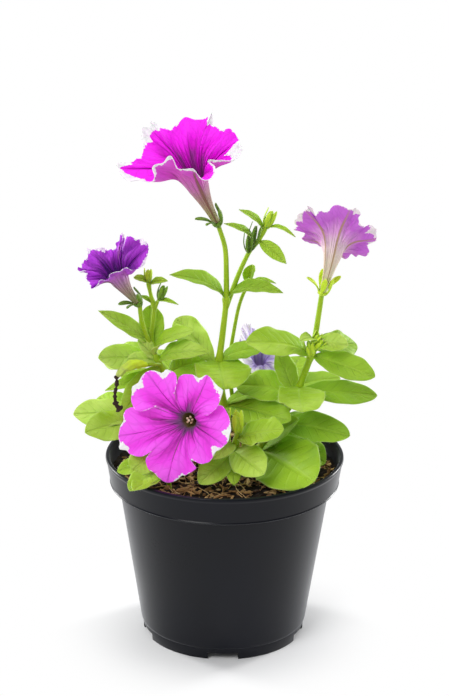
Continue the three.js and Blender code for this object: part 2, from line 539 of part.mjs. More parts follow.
for (const [name, [from]] of Object.entries(CALYCES)) {
  const { ahead, foot } = cupOf(name);
  STEMS[from][3].push(foot.addScaledVector(ahead, CUP_DEPTH / 3).toArray());
}

const curves = {};
for (const [name, [, , , route]] of Object.entries(STEMS)) {
  curves[name] = new THREE.CatmullRomCurve3(route.map((p) => vec(...p)));
}

// The point of a stem at a height.
function stemAt(name, height) {
  let low = 0;
  let high = 1;
  for (let k = 0; k < 30; k += 1) {
    const middle = (low + high) / 2;
    if (curves[name].getPoint(middle).z < height) low = middle;
    else high = middle;
  }
  return curves[name].getPoint(low);
}

const shoots = {};
const grow = (shoot, solid) => (shoots[shoot] ??= []).push(solid);

for (const [shoot, footRadius, tipRadius, route] of Object.values(STEMS)) {
  grow(shoot, stem(route.map((p) => vec(...p)), footRadius, tipRadius));
}

const WIDE = 20; // blades this wide have four strips across instead of two, and wave
const LONG = 35; // blades this long have four strips along them instead of three
const WAVE = 0.12;
const ROOT_SHARE = 0.7; // a leaf starts this share of its stem's tip radius off the stem's middle
Object.values(LEAVES).forEach(([from, height, heading, rise, length, width, arch, roll, cup, outline], k) => {
  const outward = direction(heading, 0).multiplyScalar(STEMS[from][2] * ROOT_SHARE);
  const base = stemAt(from, height).add(outward);
  const tip = base.clone().addScaledVector(direction(heading, rise), length);
  const wide = width >= WIDE;
  const shape = { width, arch, roll, cup, outline, wave: wide ? WAVE : 0, phase: k };
  grow(STEMS[from][0], blade(base, tip, { ...shape, rows: wide || length > LONG ? 4 : 3, columns: wide ? 4 : 2 }));
});

for (const [shoot, foot, tip, radius] of Object.values(BUDS)) {
  grow(shoot, lump(vec(...foot), vec(...tip), BUD_SHARES.map((share) => share * radius)));
}

for (const [name, [from, length, spreads]] of Object.entries(CALYCES)) {
  const { ahead, top, foot } = cupOf(name);
  grow(STEMS[from][0], lump(foot, top, CUP_WIDTHS, 6));
  const out = new THREE.Vector3().crossVectors(ahead, vec(1, 0, 0)).normalize();
  for (const [k, spread] of spreads.entries()) {
    const spoke = out.clone().applyAxisAngle(ahead, radians(360 / spreads.length * k + SEPAL_TURN));
    const root = top.clone().addScaledVector(ahead, -SEPAL_DEPTH).addScaledVector(spoke, SEPAL_ROOT);
    const reach = ahead.clone().multiplyScalar(Math.cos(radians(spread)))
      .addScaledVector(spoke, Math.sin(radians(spread)));
    grow(STEMS[from][0], blade(root, root.clone().addScaledVector(reach, length),
      { width: SEPAL_WIDTH, outline: 'spoon', arch: SEPAL_BOW, cup: 0, up: ahead, rows: 2, columns: 1 }));
  }
}

// --------------------------------------------------------------------------------------- the withered bloom

const SPENT_TUBE = [[-48.75, -14, 182.75], [-53, -19.5, 185.2], [-58, -24, 186], [-62.5, -26, 184], [-66, -27, 180]];
const SPENT_STRING = [[-64.5, -27, 157.9], [-67, -27.5, 161.9], [-67.5, -28, 168.9], [-66.5, -27.5, 173.9],
  [-66.6, -27.3, 178.8]];
const SACK = { sides: 6, bulge: 1, step: 6 }; // the bloom's tube has collapsed into a soft sack
const WISP = { sides: 6, bulge: -0.35, step: 7 }; // its limb hangs from that as a thin dry string

// ------------------------------------------------------------------------------------------ pot and potting mix

// Inner face of the pot's wall from the floor up, as radius and height; the rim's lip follows.
function potInside(gap = 0) {
  const { height, rimRadius, collarDepth, collarBottomRadius, bodyTopRadius, bodyBottomRadius, wall } = POT;
  const ledge = height - collarDepth;
  return [
    [bodyBottomRadius - wall - gap, POT.floor + wall + gap],
    [bodyTopRadius - wall - gap, ledge + wall + gap],
    [collarBottomRadius - wall - gap, ledge + wall + gap],
    [rimRadius - POT.lipInset - wall - gap, height - POT.lipDrop],
  ];
}

function makePot() {
  const { height, rimRadius, collarDepth, collarBottomRadius, bodyTopRadius, bodyBottomRadius } = POT;
  const { footRadius, footHeight, footWidth, floor, wall, edge, lipDepth } = POT;
  const ledge = height - collarDepth;
  const profile = [
    [0, floor], [footRadius - footWidth, floor], [footRadius - footWidth, 0], [footRadius, 0],
    [footRadius + edge, footHeight - edge], [bodyBottomRadius + edge, footHeight],
    [bodyTopRadius, ledge - edge], [collarBottomRadius - edge, ledge - edge],
    [collarBottomRadius, ledge], [rimRadius - edge, height - lipDepth], [rimRadius, height - lipDepth + 2 * edge],
    [rimRadius - 2 * edge, height], [rimRadius - wall - edge, height],
    ...potInside().reverse(), [0, floor + wall],
  ].map(([r, z]) => new THREE.Vector2(r, z));
  const turned = new THREE.LatheGeometry(profile, POT.segments);
  turned.rotateX(Math.PI / 2);
  let pot = solidOf(turned);
  for (let k = 0; k < POT.notches; k += 1) {
    const heading = radians(-90 + 360 / POT.notches * k);
    const notch = new THREE.BoxGeometry(footWidth * 4, POT.notchArc, POT.notchHeight * 2);
    notch.translate(footRadius, 0, 0);
    notch.rotateZ(heading);
    pot = pot.subtract(solidOf(notch));
    const drain = new THREE.CylinderGeometry(POT.drainRadius, POT.drainRadius, 4 * wall, 12);
    drain.rotateX(Math.PI / 2);
    drain.translate(footRadius * POT.drainPlace, 0, floor);
    drain.rotateZ(heading);
    pot = pot.subtract(solidOf(drain));
  }
  return pot;
}

// Height of the lumpy surface of the potting mix: long crossed waves with short ones on them.
function soilHeight(x, y) {
  const share = Math.min(Math.hypot(x, y) / POT.bodyTopRadius, 1);
  const lumps = Math.sin(x * 0.31 + 1.3 * Math.sin(y * 0.23)) * Math.cos(y * 0.37 + x * 0.11)
    + 0.6 * Math.sin(x * 0.83 + 2.1) * Math.sin(y * 0.71 + 0.4);
  return SOIL.top + SOIL.dome * (1 - share * share) + SOIL.relief * 0.6 * lumps;
}

const GOLDEN_ANGLE = Math.PI * (3 - Math.sqrt(5));

function makePottingMix() {
  const wallSide = potInside(SEAT + SOIL.facetSlack);
  const [, , collarFoot, lip] = wallSide;
  const climb = (SOIL.top - collarFoot[1]) / (lip[1] - collarFoot[1]);
  const edge = collarFoot[0] + (lip[0] - collarFoot[0]) * climb - SOIL.edgeSlack;
  const rings = SOIL.rings.map((share) => [edge * share, SOIL.top]);
  const profile = [[0, wallSide[0][1]], ...wallSide.slice(0, 3), ...rings, [0, SOIL.top]];
  const turned = new THREE.LatheGeometry(profile.map(([r, z]) => new THREE.Vector2(r, z)), SOIL.segments);
  turned.rotateX(Math.PI / 2);
  const position = turned.attributes.position;
  for (let k = 0; k < position.count; k += 1) {
    if (Math.abs(position.getZ(k) - SOIL.top) < 1e-3) {
      position.setZ(k, soilHeight(position.getX(k), position.getY(k)));
    }
  }
  const pieces = [solidOf(turned)];
  for (let k = 0; k < SOIL.chips; k += 1) {
    const radius = (edge - SOIL.chipEdge) * Math.sqrt((k + 0.5) / SOIL.chips);
    const heading = GOLDEN_ANGLE * k;
    const [x, y] = [radius * Math.cos(heading), radius * Math.sin(heading)];
    const crowded = Object.values(STEMS).some(([, , , [[a, b]]]) => Math.hypot(x - a, y - b) < SOIL.chipFree);
    if (crowded) continue;
    const chip = new THREE.CylinderGeometry(1, 1, 1, 3);
    chip.rotateX(Math.PI / 2);
    const { chipLength, chipWidth, chipDepth, chipPitch, chipRoll } = SOIL;
    chip.scale(between(chipLength, k), between(chipWidth, k + 100), between(chipDepth, k + 200));
    chip.rotateX(chipPitch * (scatter(k + 300) - 0.5));
    chip.rotateY(chipRoll * (scatter(k + 400) - 0.5));
    chip.rotateZ(Math.PI * scatter(k + 500));
    chip.translate(x, y, soilHeight(x, y));
    pieces.push(solidOf(chip));
  }
  let mix = joinAll(pieces);
  for (const [, footRadius, , route] of Object.values(STEMS)) {
    const [x, y, z] = route[0];
    if (z !== shootFoot) continue;
    const ahead = vec(...route[1]).sub(vec(x, y, z)).normalize();
    const depth = vec(x, y, z).addScaledVector(ahead, -SEAT);
    const above = vec(x, y, z).addScaledVector(ahead, SOIL.holeDepth + SOIL.holeReach);
    mix = mix.subtract(stem([depth, above], footRadius + SOIL.holeSlack, footRadius + SOIL.holeSlack, { sides: 8 }));
  }
  return mix;
}

// ------------------------------------------------------------------------------------------------- assembly

const GREEN = 0x6f9b2e;
const part = new THREE.Group();

function add(name, solid, color, roughness) {
  const material = new THREE.MeshStandardMaterial({ color, roughness, metalness: 0 });
  const mesh = new THREE.Mesh(geometryOf(solid), material);
  mesh.name = name;
  part.add(mesh);
}

add('pot', makePot(), 0x2b2f33, 0.45);
add('potting_mix', makePottingMix(), 0x5a3f2c, 0.95);
for (const [name, solids] of Object.entries(shoots)) add(name, joinAll(solids), GREEN, 0.6);
for (const [name, shape] of Object.entries(BLOOMS)) add(`bloom_${name}`, corolla(shape), shape.colour, 0.55);
add('spent_tube', stem(SPENT_TUBE.map((p) => vec(...p)), 1.3, 1.5, SACK), 0xb9c24a, 0.7);
add('spent_string', stem(SPENT_STRING.map((p) => vec(...p)), 2, 1.2, WISP), 0x3b2a20, 0.85);

export default part;
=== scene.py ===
"""A flowering petunia in a black nursery pot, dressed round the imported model.

The tables give millimetres in the part's own frame: +Z up, -Y towards the viewer, the origin on the ground
under the middle of the pot. MM turns them into Blender's metres when a mesh is made.
"""

import math

import bmesh
import bpy
import numpy as np
from mathutils import Euler, Matrix, Vector


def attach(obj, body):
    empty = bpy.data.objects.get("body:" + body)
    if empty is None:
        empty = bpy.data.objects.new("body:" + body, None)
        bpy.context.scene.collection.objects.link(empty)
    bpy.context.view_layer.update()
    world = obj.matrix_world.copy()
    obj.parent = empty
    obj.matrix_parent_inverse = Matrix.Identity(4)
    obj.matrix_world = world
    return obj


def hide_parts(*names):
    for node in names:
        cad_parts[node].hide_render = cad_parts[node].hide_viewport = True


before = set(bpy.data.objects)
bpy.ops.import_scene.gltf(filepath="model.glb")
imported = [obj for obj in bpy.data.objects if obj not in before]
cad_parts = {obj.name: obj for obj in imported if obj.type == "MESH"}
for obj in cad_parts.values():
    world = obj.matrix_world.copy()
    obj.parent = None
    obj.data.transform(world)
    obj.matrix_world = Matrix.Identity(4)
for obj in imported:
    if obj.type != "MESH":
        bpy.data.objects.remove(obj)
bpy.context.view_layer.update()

MM = 0.001

# ---- building materials out of nodes


def colour_of(code):
    """A linear colour from six hexadecimal digits."""
    parts = [int(code[k:k + 2], 16) / 255 for k in (0, 2, 4)]
    return tuple(p / 12.92 if p <= 0.04045 else ((p + 0.055) / 1.055) ** 2.4 for p in parts) + (1.0,)


class Value:
    """What a node puts out; arithmetic on it adds the nodes that do it."""

    def __init__(self, nodes, socket):
        self.nodes = nodes
        self.socket = socket

    def __add__(self, other):
        return self.nodes.math("ADD", self, other)

    def __sub__(self, other):
        return self.nodes.math("SUBTRACT", self, other)

    def __mul__(self, other):
        return self.nodes.math("MULTIPLY", self, other)


class Nodes:
    """The nodes of a new material, or of an owner that is given; a colour is six hexadecimal digits."""

    def __init__(self, name, owner=None):
        owner = owner or bpy.data.materials.new(name)
        owner.use_nodes = True
        self.owner = owner
        self.tree = owner.node_tree
        self.surface = self.tree.nodes.get("Principled BSDF")

    def feed(self, socket, value):
        if isinstance(value, Value):
            self.tree.links.new(value.socket, socket)
        else:
            socket.default_value = colour_of(value) if isinstance(value, str) else value

    def add(self, kind, inputs, output=0, **settings):
        """A new node, its inputs fed by their numbers or names and its own settings made."""
        node = self.tree.nodes.new("ShaderNode" + kind)
        for name, value in settings.items():
            setattr(node, name, value)
        for key, value in inputs.items():
            self.feed(node.inputs[key], value)
        return Value(self, node.outputs[output]) if node.outputs else None

    def set(self, **values):
        """Feeds the surface; a socket's spaces are written as underscores."""
        for name, value in values.items():
            self.feed(self.surface.inputs[name.replace("_", " ")], value)

    def mark(self, name):
        return self.add("Attribute", {}, "Fac", attribute_name=name)

    def math(self, operation, *values):
        return self.add("Math", dict(enumerate(values)), operation=operation)

    def range(self, value, low, high, start=0.0, end=1.0):
        """start where value is low, end where it is high, and a smooth step between them."""
        given = dict(enumerate((value, low, high, start, end)))
        return self.add("MapRange", given, interpolation_type="SMOOTHSTEP")

    def mix(self, share, first, second):
        return self.add("Mix", {0: share, 6: first, 7: second}, 2, data_type="RGBA")

    def ramp(self, value, places, colours):
        blend = self.add("ValToRGB", {0: value})
        elements = blend.socket.node.color_ramp.elements
        while len(elements) < len(places):
            elements.new(1)
        for element, place, code in zip(elements, places, colours.split()):
            element.position = place
            element.color = colour_of(code)
        return blend

    def noise(self, scale, detail=3.0, rough=0.5, stretch=(1, 1, 1)):
        """Noise over the part's own space; scale is in cycles a metre."""
        place = self.add("Mapping", {"Vector": self.add("TexCoord", {}, "Object"), "Scale": stretch})
        settings = {"Vector": place, "Scale": scale, "Detail": detail, "Roughness": rough}
        return self.add("TexNoise", settings, "Fac")

    def bump(self, height, distance, strength):
        self.set(Normal=self.add("Bump", {"Height": height, "Distance": distance, "Strength": strength}))

    def lines(self, value, width):
        """1 on the whole numbers of value, 0 further from them than width."""
        return self.range(self.math("PINGPONG", value, 0.5), 0.0, width, 1.0, 0.0)


# ---- camera and light

LOOK_AT = (-0.0007, 0.0, 0.1892)
CAMERA_DISTANCE = 1.5
CAMERA_RISE = 19.66  # degrees above the level
CAMERA_ROLL = 0.5
LENS = 125.06

# Each lamp: its place, what it points at, its width and height and its power.
LAMPS = {
    "key": ((-0.9, -1.5, 1.7), (0, 0, 0.2), (1.1, 1.1), 24),
    "left_strip": ((-1.1, 0.7, 0.4), (0, 0, 0.1), (0.3, 1.0), 16),
    "right_strip": ((1.1, 0.8, 0.4), (0, 0, 0.1), (0.3, 1.0), 20),
    "top": ((0.1, 0.3, 1.9), (0, 0, 0.1), (1.2, 1.2), 14),
}
FLOOR_REACH = 6.0
FLOOR_FADE = (0.045, 0.12)  # metres from the middle where the floor starts and ends to turn white


def add_object(name, data):
    thing = bpy.data.objects.new(name, data)
    bpy.context.scene.collection.objects.link(thing)
    return thing


def make_camera():
    rise = math.radians(CAMERA_RISE)
    camera = add_object("camera", bpy.data.cameras.new("camera"))
    camera.data.lens = LENS
    camera.data.sensor_width = 36
    camera.data.clip_end = 20
    away = Vector((0, -math.cos(rise), math.sin(rise))) * CAMERA_DISTANCE
    turn = Euler((math.pi / 2 - rise, 0, 0)).to_matrix() @ Matrix.Rotation(math.radians(CAMERA_ROLL), 3, "Z")
    camera.matrix_world = Matrix.Translation(Vector(LOOK_AT) + away) @ turn.to_4x4()
    bpy.context.scene.camera = camera


def make_lamp(name, place, target, size, power):
    lamp = bpy.data.lights.new(name, "AREA")
    lamp.shape = "RECTANGLE"
    lamp.size, lamp.size_y = size
    lamp.energy = power
    holder = add_object(name, lamp)
    holder.location = place
    holder.rotation_euler = (Vector(target) - Vector(place)).to_track_quat("-Z", "Y").to_euler()
    holder.visible_camera = False


def make_world():
    """White behind the plant, and a softer, slightly blue light on it."""
    world = bpy.data.worlds.new("studio")
    bpy.context.scene.world = world
    n = Nodes("studio", world)
    n.tree.nodes.clear()
    seen = n.add("Background", {"Color": (1, 1, 1, 1), "Strength": 1.0})
    lit = n.add("Background", {"Color": (0.97, 0.985, 1, 1), "Strength": 0.34})
    either = n.add("MixShader", {0: n.add("LightPath", {}, "Is Camera Ray"), 1: lit, 2: seen})
    n.add("OutputWorld", {"Surface": either})


def make_floor():
    """A pale floor that turns into the white of the room as it runs away from the pot."""
    mesh = bpy.data.meshes.new("floor")
    corners = [(x * FLOOR_REACH, y * FLOOR_REACH, 0) for x, y in ((-1, -1), (1, -1), (1, 1), (-1, 1))]
    mesh.from_pydata(corners, [], [(0, 1, 2, 3)])
    n = Nodes("floor")
    n.set(Base_Color=(0.9, 0.9, 0.905, 1), Roughness=0.9, Specular_IOR_Level=0.1)
    distance = n.add("VectorMath", {0: n.add("TexCoord", {}, "Object")}, "Value", operation="LENGTH")
    pale = Value(n, n.surface.outputs[0])
    both = n.add("MixShader", {0: n.range(distance, *FLOOR_FADE), 1: pale, 2: n.add("Emission", {})})
    n.feed(n.tree.nodes["Material Output"].inputs["Surface"], both)
    mesh.materials.append(n.owner)
    add_object("floor", mesh)


make_camera()
make_world()
make_floor()
for name, row in LAMPS.items():
    make_lamp(name, *row)
bpy.context.scene.view_settings.view_transform = "Standard"

# ---- vectors and routes


def unit(vectors):
    return vectors / np.maximum(np.linalg.norm(vectors, axis=-1, keepdims=True), 1e-12)


def direction(heading, rise):
    """A direction from a heading round Z (0 is +X, 90 is +Y) and a rise above the level, in degrees."""
    a = math.radians(heading)
    b = math.radians(rise)
    return np.array([math.cos(b) * math.cos(a), math.cos(b) * math.sin(a), math.sin(b)])


def turned(vector, axis, angle):
    """vector turned about a unit axis by an angle in radians."""
    return (vector * math.cos(angle) + np.cross(axis, vector) * math.sin(angle)
            + axis * np.dot(axis, vector) * (1 - math.cos(angle)))


def turning(start, end):
    """The shortest rotation that takes one unit vector to another, as a matrix."""
    cross = np.cross(start, end)
    skew = np.array([[0, -cross[2], cross[1]], [cross[2], 0, -cross[0]], [-cross[1], cross[0], 0]])
    return np.eye(3) + skew + skew @ skew / (1 + np.dot(start, end))


def smooth(low, high, value):
    t = np.clip((value - low) / (high - low), 0, 1)
    return t * t * (3 - 2 * t)


def angles_of(count):
    return np.linspace(0, 2 * math.pi, count, endpoint=False)


def spokes_of(angles, side=(1, 0, 0), up=(0, 1, 0)):
    """Unit vectors at angles that run from side towards up."""
    return np.outer(np.cos(angles), side) + np.outer(np.sin(angles), up)


class Route:
    """A smooth curve through points, each stretch of it shaped by the distances between them."""

    def __init__(self, points):
        points = np.array(points, float)
        self.knots = np.vstack([2 * points[0] - points[1], points, 2 * points[-1] - points[-2]])
        self.stretches = len(points) - 1
        self.places = np.linspace(0, 1, 401)
        steps = np.linalg.norm(np.diff(self.point(self.places), axis=0), axis=1)
        self.reached = np.concatenate([[0], np.cumsum(steps)])
        self.length = self.reached[-1]

    def point(self, t):
        place = np.clip(np.atleast_1d(t), 0, 1) * self.stretches
        k = np.minimum(place.astype(int), self.stretches - 1)
        w = (place - k)[:, None]
        p0, p1, p2, p3 = (self.knots[k + step] for step in range(4))
        gaps = (p1 - p0, p2 - p1, p3 - p2)
        d0, d1, d2 = (np.sqrt(np.linalg.norm(gap, axis=1))[:, None] for gap in gaps)
        start = ((p1 - p0) / d0 - (p2 - p0) / (d0 + d1) + (p2 - p1) / d1) * d1
        end = ((p2 - p1) / d1 - (p3 - p1) / (d1 + d2) + (p3 - p2) / d2) * d1
        square = -3 * p1 + 3 * p2 - 2 * start - end
        cube = 2 * p1 - 2 * p2 + start + end
        return p1 + start * w + square * w ** 2 + cube * w ** 3

    def along(self, share):
        return self.point(np.interp(np.asarray(share) * self.length, self.reached, self.places))

    def at_height(self, height):
        low, high = 0.0, 1.0
        for _ in range(30):
            middle = (low + high) / 2
            if self.point(middle)[0, 2] < height:
                low = middle
            else:
                high = middle
        return self.point(low)[0]


# ---- mesh building

# The third mark is a piece's own tone, and on petals the painted shade and painted light of their swells.
MARKS = ("along", "across", "tone", "mask", "outside")
SWELLING = 0.22  # how much thicker a stem is where a leaf grows from it
SWELLING_REACH = 2.6  # how far along the stem


def quads_of(rows, columns, closed):
    """Corner numbers of a grid's quads; a closed grid joins its last column to its first."""
    wide = columns if closed else columns + 1
    i, j = np.meshgrid(np.arange(rows), np.arange(columns), indexing="ij")
    near = i * wide + j
    far = i * wide + (j + 1) % wide
    return np.stack([near, far, far + wide, near + wide], -1).reshape(-1, 4)


def marks_like(points, along=0.0, across=0.0, tone=0.0, mask=0.0, outside=0.0):
    shape = points.shape[:-1]
    return np.stack([np.broadcast_to(value, shape) for value in (along, across, tone, mask, outside)], -1)


def normals_of(surface, closed):
    if closed:
        across = np.roll(surface, -1, axis=1) - np.roll(surface, 1, axis=1)
    else:
        across = np.gradient(surface, axis=1)
    return unit(np.cross(np.gradient(surface, axis=0), across))


class Build:
    """Collects the points, faces and marks of one piece, and the roots of its hairs."""

    def __init__(self):
        self.points = []
        self.marks = []
        self.faces = []
        self.surfaces = []
        self.count = 0
        self.hairs = []

    def add(self, points, marks, faces, kind=0):
        """kind is the number of the piece's material."""
        self.points.append(points.reshape(-1, 3))
        self.marks.append(marks.reshape(-1, len(MARKS)))
        self.faces.extend((np.asarray(faces) + self.count).tolist())
        self.surfaces.extend([kind] * len(faces))
        self.count += len(self.points[-1])

    def solid(self, rings, marks, ends=None, kind=0):
        """A skin over rings of points, closed by a fan round a point at each end."""
        size = rings.shape[1]
        self.add(rings, marks, quads_of(len(rings) - 1, size, True), kind)
        fan = [(k, (k + 1) % size, size) for k in range(size)]
        for row, middle in zip((0, -1), ends or (rings[0].mean(axis=0), rings[-1].mean(axis=0))):
            self.add(np.vstack([rings[row], middle]), np.vstack([marks[row], marks[row][:1]]), fan, kind)

    def root(self, places, ways, density):
        """Keeps places and directions for hairs."""
        if density:
            self.hairs.append((places.reshape(-1, 3), ways.reshape(-1, 3), density))

    def shell(self, surface, marks, thickness, closed=False, kind=0):
        """A closed thin skin round a grid of points; thickness is one number for each point."""
        normal = normals_of(surface, closed)
        half = normal * (thickness / 2)[..., None]
        rows = surface.shape[0] - 1
        wide = surface.shape[1]
        columns = wide if closed else wide - 1
        under = surface.shape[0] * wide
        edges = []
        for j in range(columns):
            after = (j + 1) % wide
            edges += [(j, after), (rows * wide + after, rows * wide + j)]
        if not closed:
            for i in range(0, rows * wide, wide):
                edges += [(i + wide, i), (i + columns, i + wide + columns)]
        rims = [(a, a + under, b + under, b) for a, b in edges]
        quads = quads_of(rows, columns, closed)
        back = marks.copy()
        back[..., MARKS.index("outside")] = 1
        faces = np.vstack([quads[:, ::-1], quads + under, np.array(rims)])
        self.add(np.stack([surface + half, surface - half]), np.stack([marks, back]), faces, kind)
        return normal

    def tube(self, route, foot, tip, sides, step=2.2, tone=0.0, kind=0, swellings=(), hair=0.0, bulge=0.0):
        """A round closed tube along a route, swollen where something grows from it; bulge makes it a crumpled
        sack that is wider in its middle, or narrower where it is below 0."""
        steps = max(2, round(route.length / step))
        share = np.linspace(0, 1, steps + 1)
        centre = route.along(share)
        ahead = unit(np.gradient(centre, axis=0))
        radius = (foot + (tip - foot) * share) * (1 + bulge * np.sin(math.pi * share))
        for place in swellings:
            gap = np.linalg.norm(centre - place, axis=1)
            radius = radius * (1 + SWELLING * np.exp(-(gap / SWELLING_REACH) ** 2))
        side = unit(np.cross(ahead[0], [0.3, 1, 0.2]))
        angles = angles_of(sides)
        folds = np.ones((steps + 1, sides))
        if bulge:
            place = share[:, None]
            folds += 0.13 * np.sin(5 * angles + 9 * place) + 0.1 * np.sin(2 * angles - 23 * place)
            folds += (0.3 * np.sin(34 * place) + 0.2 * np.sin(61 * place)) * (bulge < 0)
        rings = []
        for point, way, size in zip(centre, ahead, radius[:, None] * folds):
            side = unit(side - way * np.dot(side, way))
            rings.append(point + spokes_of(angles, side, np.cross(way, side)) * size[:, None])
        rings = np.array(rings)
        marks = marks_like(rings, along=share[:, None], tone=tone)
        self.solid(rings, marks, (centre[0], centre[-1] + ahead[-1] * tip * 0.5), kind)
        self.root(rings, unit(rings - centre[:, None]), hair)

    def lump(self, base, tip, radius, sides=14, rows=14, pleats=0, tone=0.0, kind=0, hair=0.0):
        """A closed bud shape from base to tip, its widest radius given."""
        ahead = unit(tip - base)
        side = unit(np.cross(ahead, [0.2, 1, 0.1]))
        t = np.linspace(0.015, 0.985, rows + 1)
        angles = angles_of(sides)
        spokes = spokes_of(angles, side, np.cross(ahead, side))
        width = radius * np.sin(np.pi * t ** 0.75) ** 0.65
        ripple = 1 + 0.08 * np.cos(pleats * angles) * bool(pleats) * t[:, None]
        rings = (base + np.outer(t, tip - base))[:, None] + spokes * (width[:, None] * ripple)[..., None]
        self.solid(rings, marks_like(rings, t[:, None], np.cos(angles), tone), (base, tip), kind)
        self.root(rings, np.tile(spokes, (rows + 1, 1)), hair)


def make_piece(name, build, materials, nodes=(), sharp=None):
    """Makes one Blender piece from a build, on the frame's body, in place of its CAD nodes."""
    mesh = bpy.data.meshes.new(name)
    mesh.from_pydata((np.vstack(build.points) * MM).tolist(), [], build.faces)
    marks = np.vstack(build.marks)
    for column, mark in enumerate(MARKS):
        layer = mesh.attributes.new(mark, "FLOAT", "POINT")
        layer.data.foreach_set("value", marks[:, column].astype(np.float32))
    mesh.polygons.foreach_set("material_index", build.surfaces)
    work = bmesh.new()
    work.from_mesh(mesh)
    bmesh.ops.remove_doubles(work, verts=work.verts, dist=1e-7)
    bmesh.ops.recalc_face_normals(work, faces=work.faces)
    work.to_mesh(mesh)
    work.free()
    shade_smooth(mesh, sharp)
    for material in materials:
        mesh.materials.append(material)
    piece = add_object(name, mesh)
    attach(piece, "root")
    if nodes:
        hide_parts(*nodes)
    return piece


def shade_smooth(mesh, sharp=None):
    """Smooth shading, with hard edges where faces meet at more than so many degrees."""
    mesh.polygons.foreach_set("use_smooth", [True] * len(mesh.polygons))
    if sharp is not None:
        mesh.set_sharp_from_angle(angle=math.radians(sharp))


# ---- materials


def leaf_material():
    s = Nodes("leaf")
    side = s.math("ABSOLUTE", s.mark("across"))
    wander = (s.noise(95, 2) - 0.5) * 0.05
    veins = s.lines((s.mark("along") - side * 0.2 + wander) * 8.0, 0.13)
    midrib = s.range(side, 0.03, 0.14, 1.0, 0.0)
    vein = s.math("MAXIMUM", veins * s.range(side, 0.2, 1.0, 0.55, 0.1), midrib * 0.9)
    spread = s.mark("tone") * 0.85 + s.noise(60, 4) * 0.5
    skin = s.ramp(spread, (0.1, 0.4, 0.7, 0.95), "406c04 74a804 a4cc14 dcf878")
    seen = s.mix(vein * 0.42, skin, "b4d840")
    seen = s.mix(s.range(side, 0.93, 1.0, 0.0, 0.45), seen, "cbdf88")
    colour = s.mix(s.mark("outside"), seen, s.mix(0.3, seen, "94b24e"))
    s.set(Base_Color=colour, Roughness=0.5, Specular_IOR_Level=0.22)
    s.set(Subsurface_Weight=0.15, Subsurface_Scale=0.001, Subsurface_Radius=(0.8, 1.0, 0.2))
    s.set(Sheen_Weight=0.04, Sheen_Roughness=0.45, Sheen_Tint=(0.9, 1.0, 0.6, 1))
    s.bump(s.noise(900, 3) * 0.5 - vein * 0.9, 0.0006, 0.9)
    return s.owner


def stem_material():
    s = Nodes("stem")
    streak = s.noise(260, 3, stretch=(1, 1, 0.12))
    share = s.mark("tone") * 0.6 + streak * 0.5
    s.set(Base_Color=s.ramp(share, (0.1, 0.5, 0.9), "6c9604 98bc0c c8dc3c"), Roughness=0.55)
    s.set(Subsurface_Weight=0.2, Subsurface_Scale=0.0012, Subsurface_Radius=(0.8, 1.0, 0.3))
    s.set(Sheen_Weight=0.1, Sheen_Roughness=0.4, Specular_IOR_Level=0.35)
    s.bump(streak, 0.0004, 0.6)
    return s.owner


def sepal_material():
    s = Nodes("sepal")
    share = s.mark("tone") + s.noise(300, 2) * 0.25
    s.set(Base_Color=s.ramp(share, (0.1, 0.35, 0.65, 1.0), "3a4c0c 5c801a 88b424 cce838"), Roughness=0.6)
    s.set(Subsurface_Weight=0.25, Subsurface_Scale=0.0012, Subsurface_Radius=(0.8, 1.0, 0.2))
    s.set(Sheen_Weight=0.08, Sheen_Roughness=0.4, Specular_IOR_Level=0.3)
    s.bump(s.noise(800, 3), 0.0003, 0.6)
    return s.owner


def hair_material():
    s = Nodes("hair")
    s.set(Base_Color=s.ramp(s.noise(400, 1), (0.3, 0.7), "cfd8a4 e8ecd0"), Roughness=0.5)
    s.set(Subsurface_Weight=0.3, Subsurface_Scale=0.001)
    return s.owner


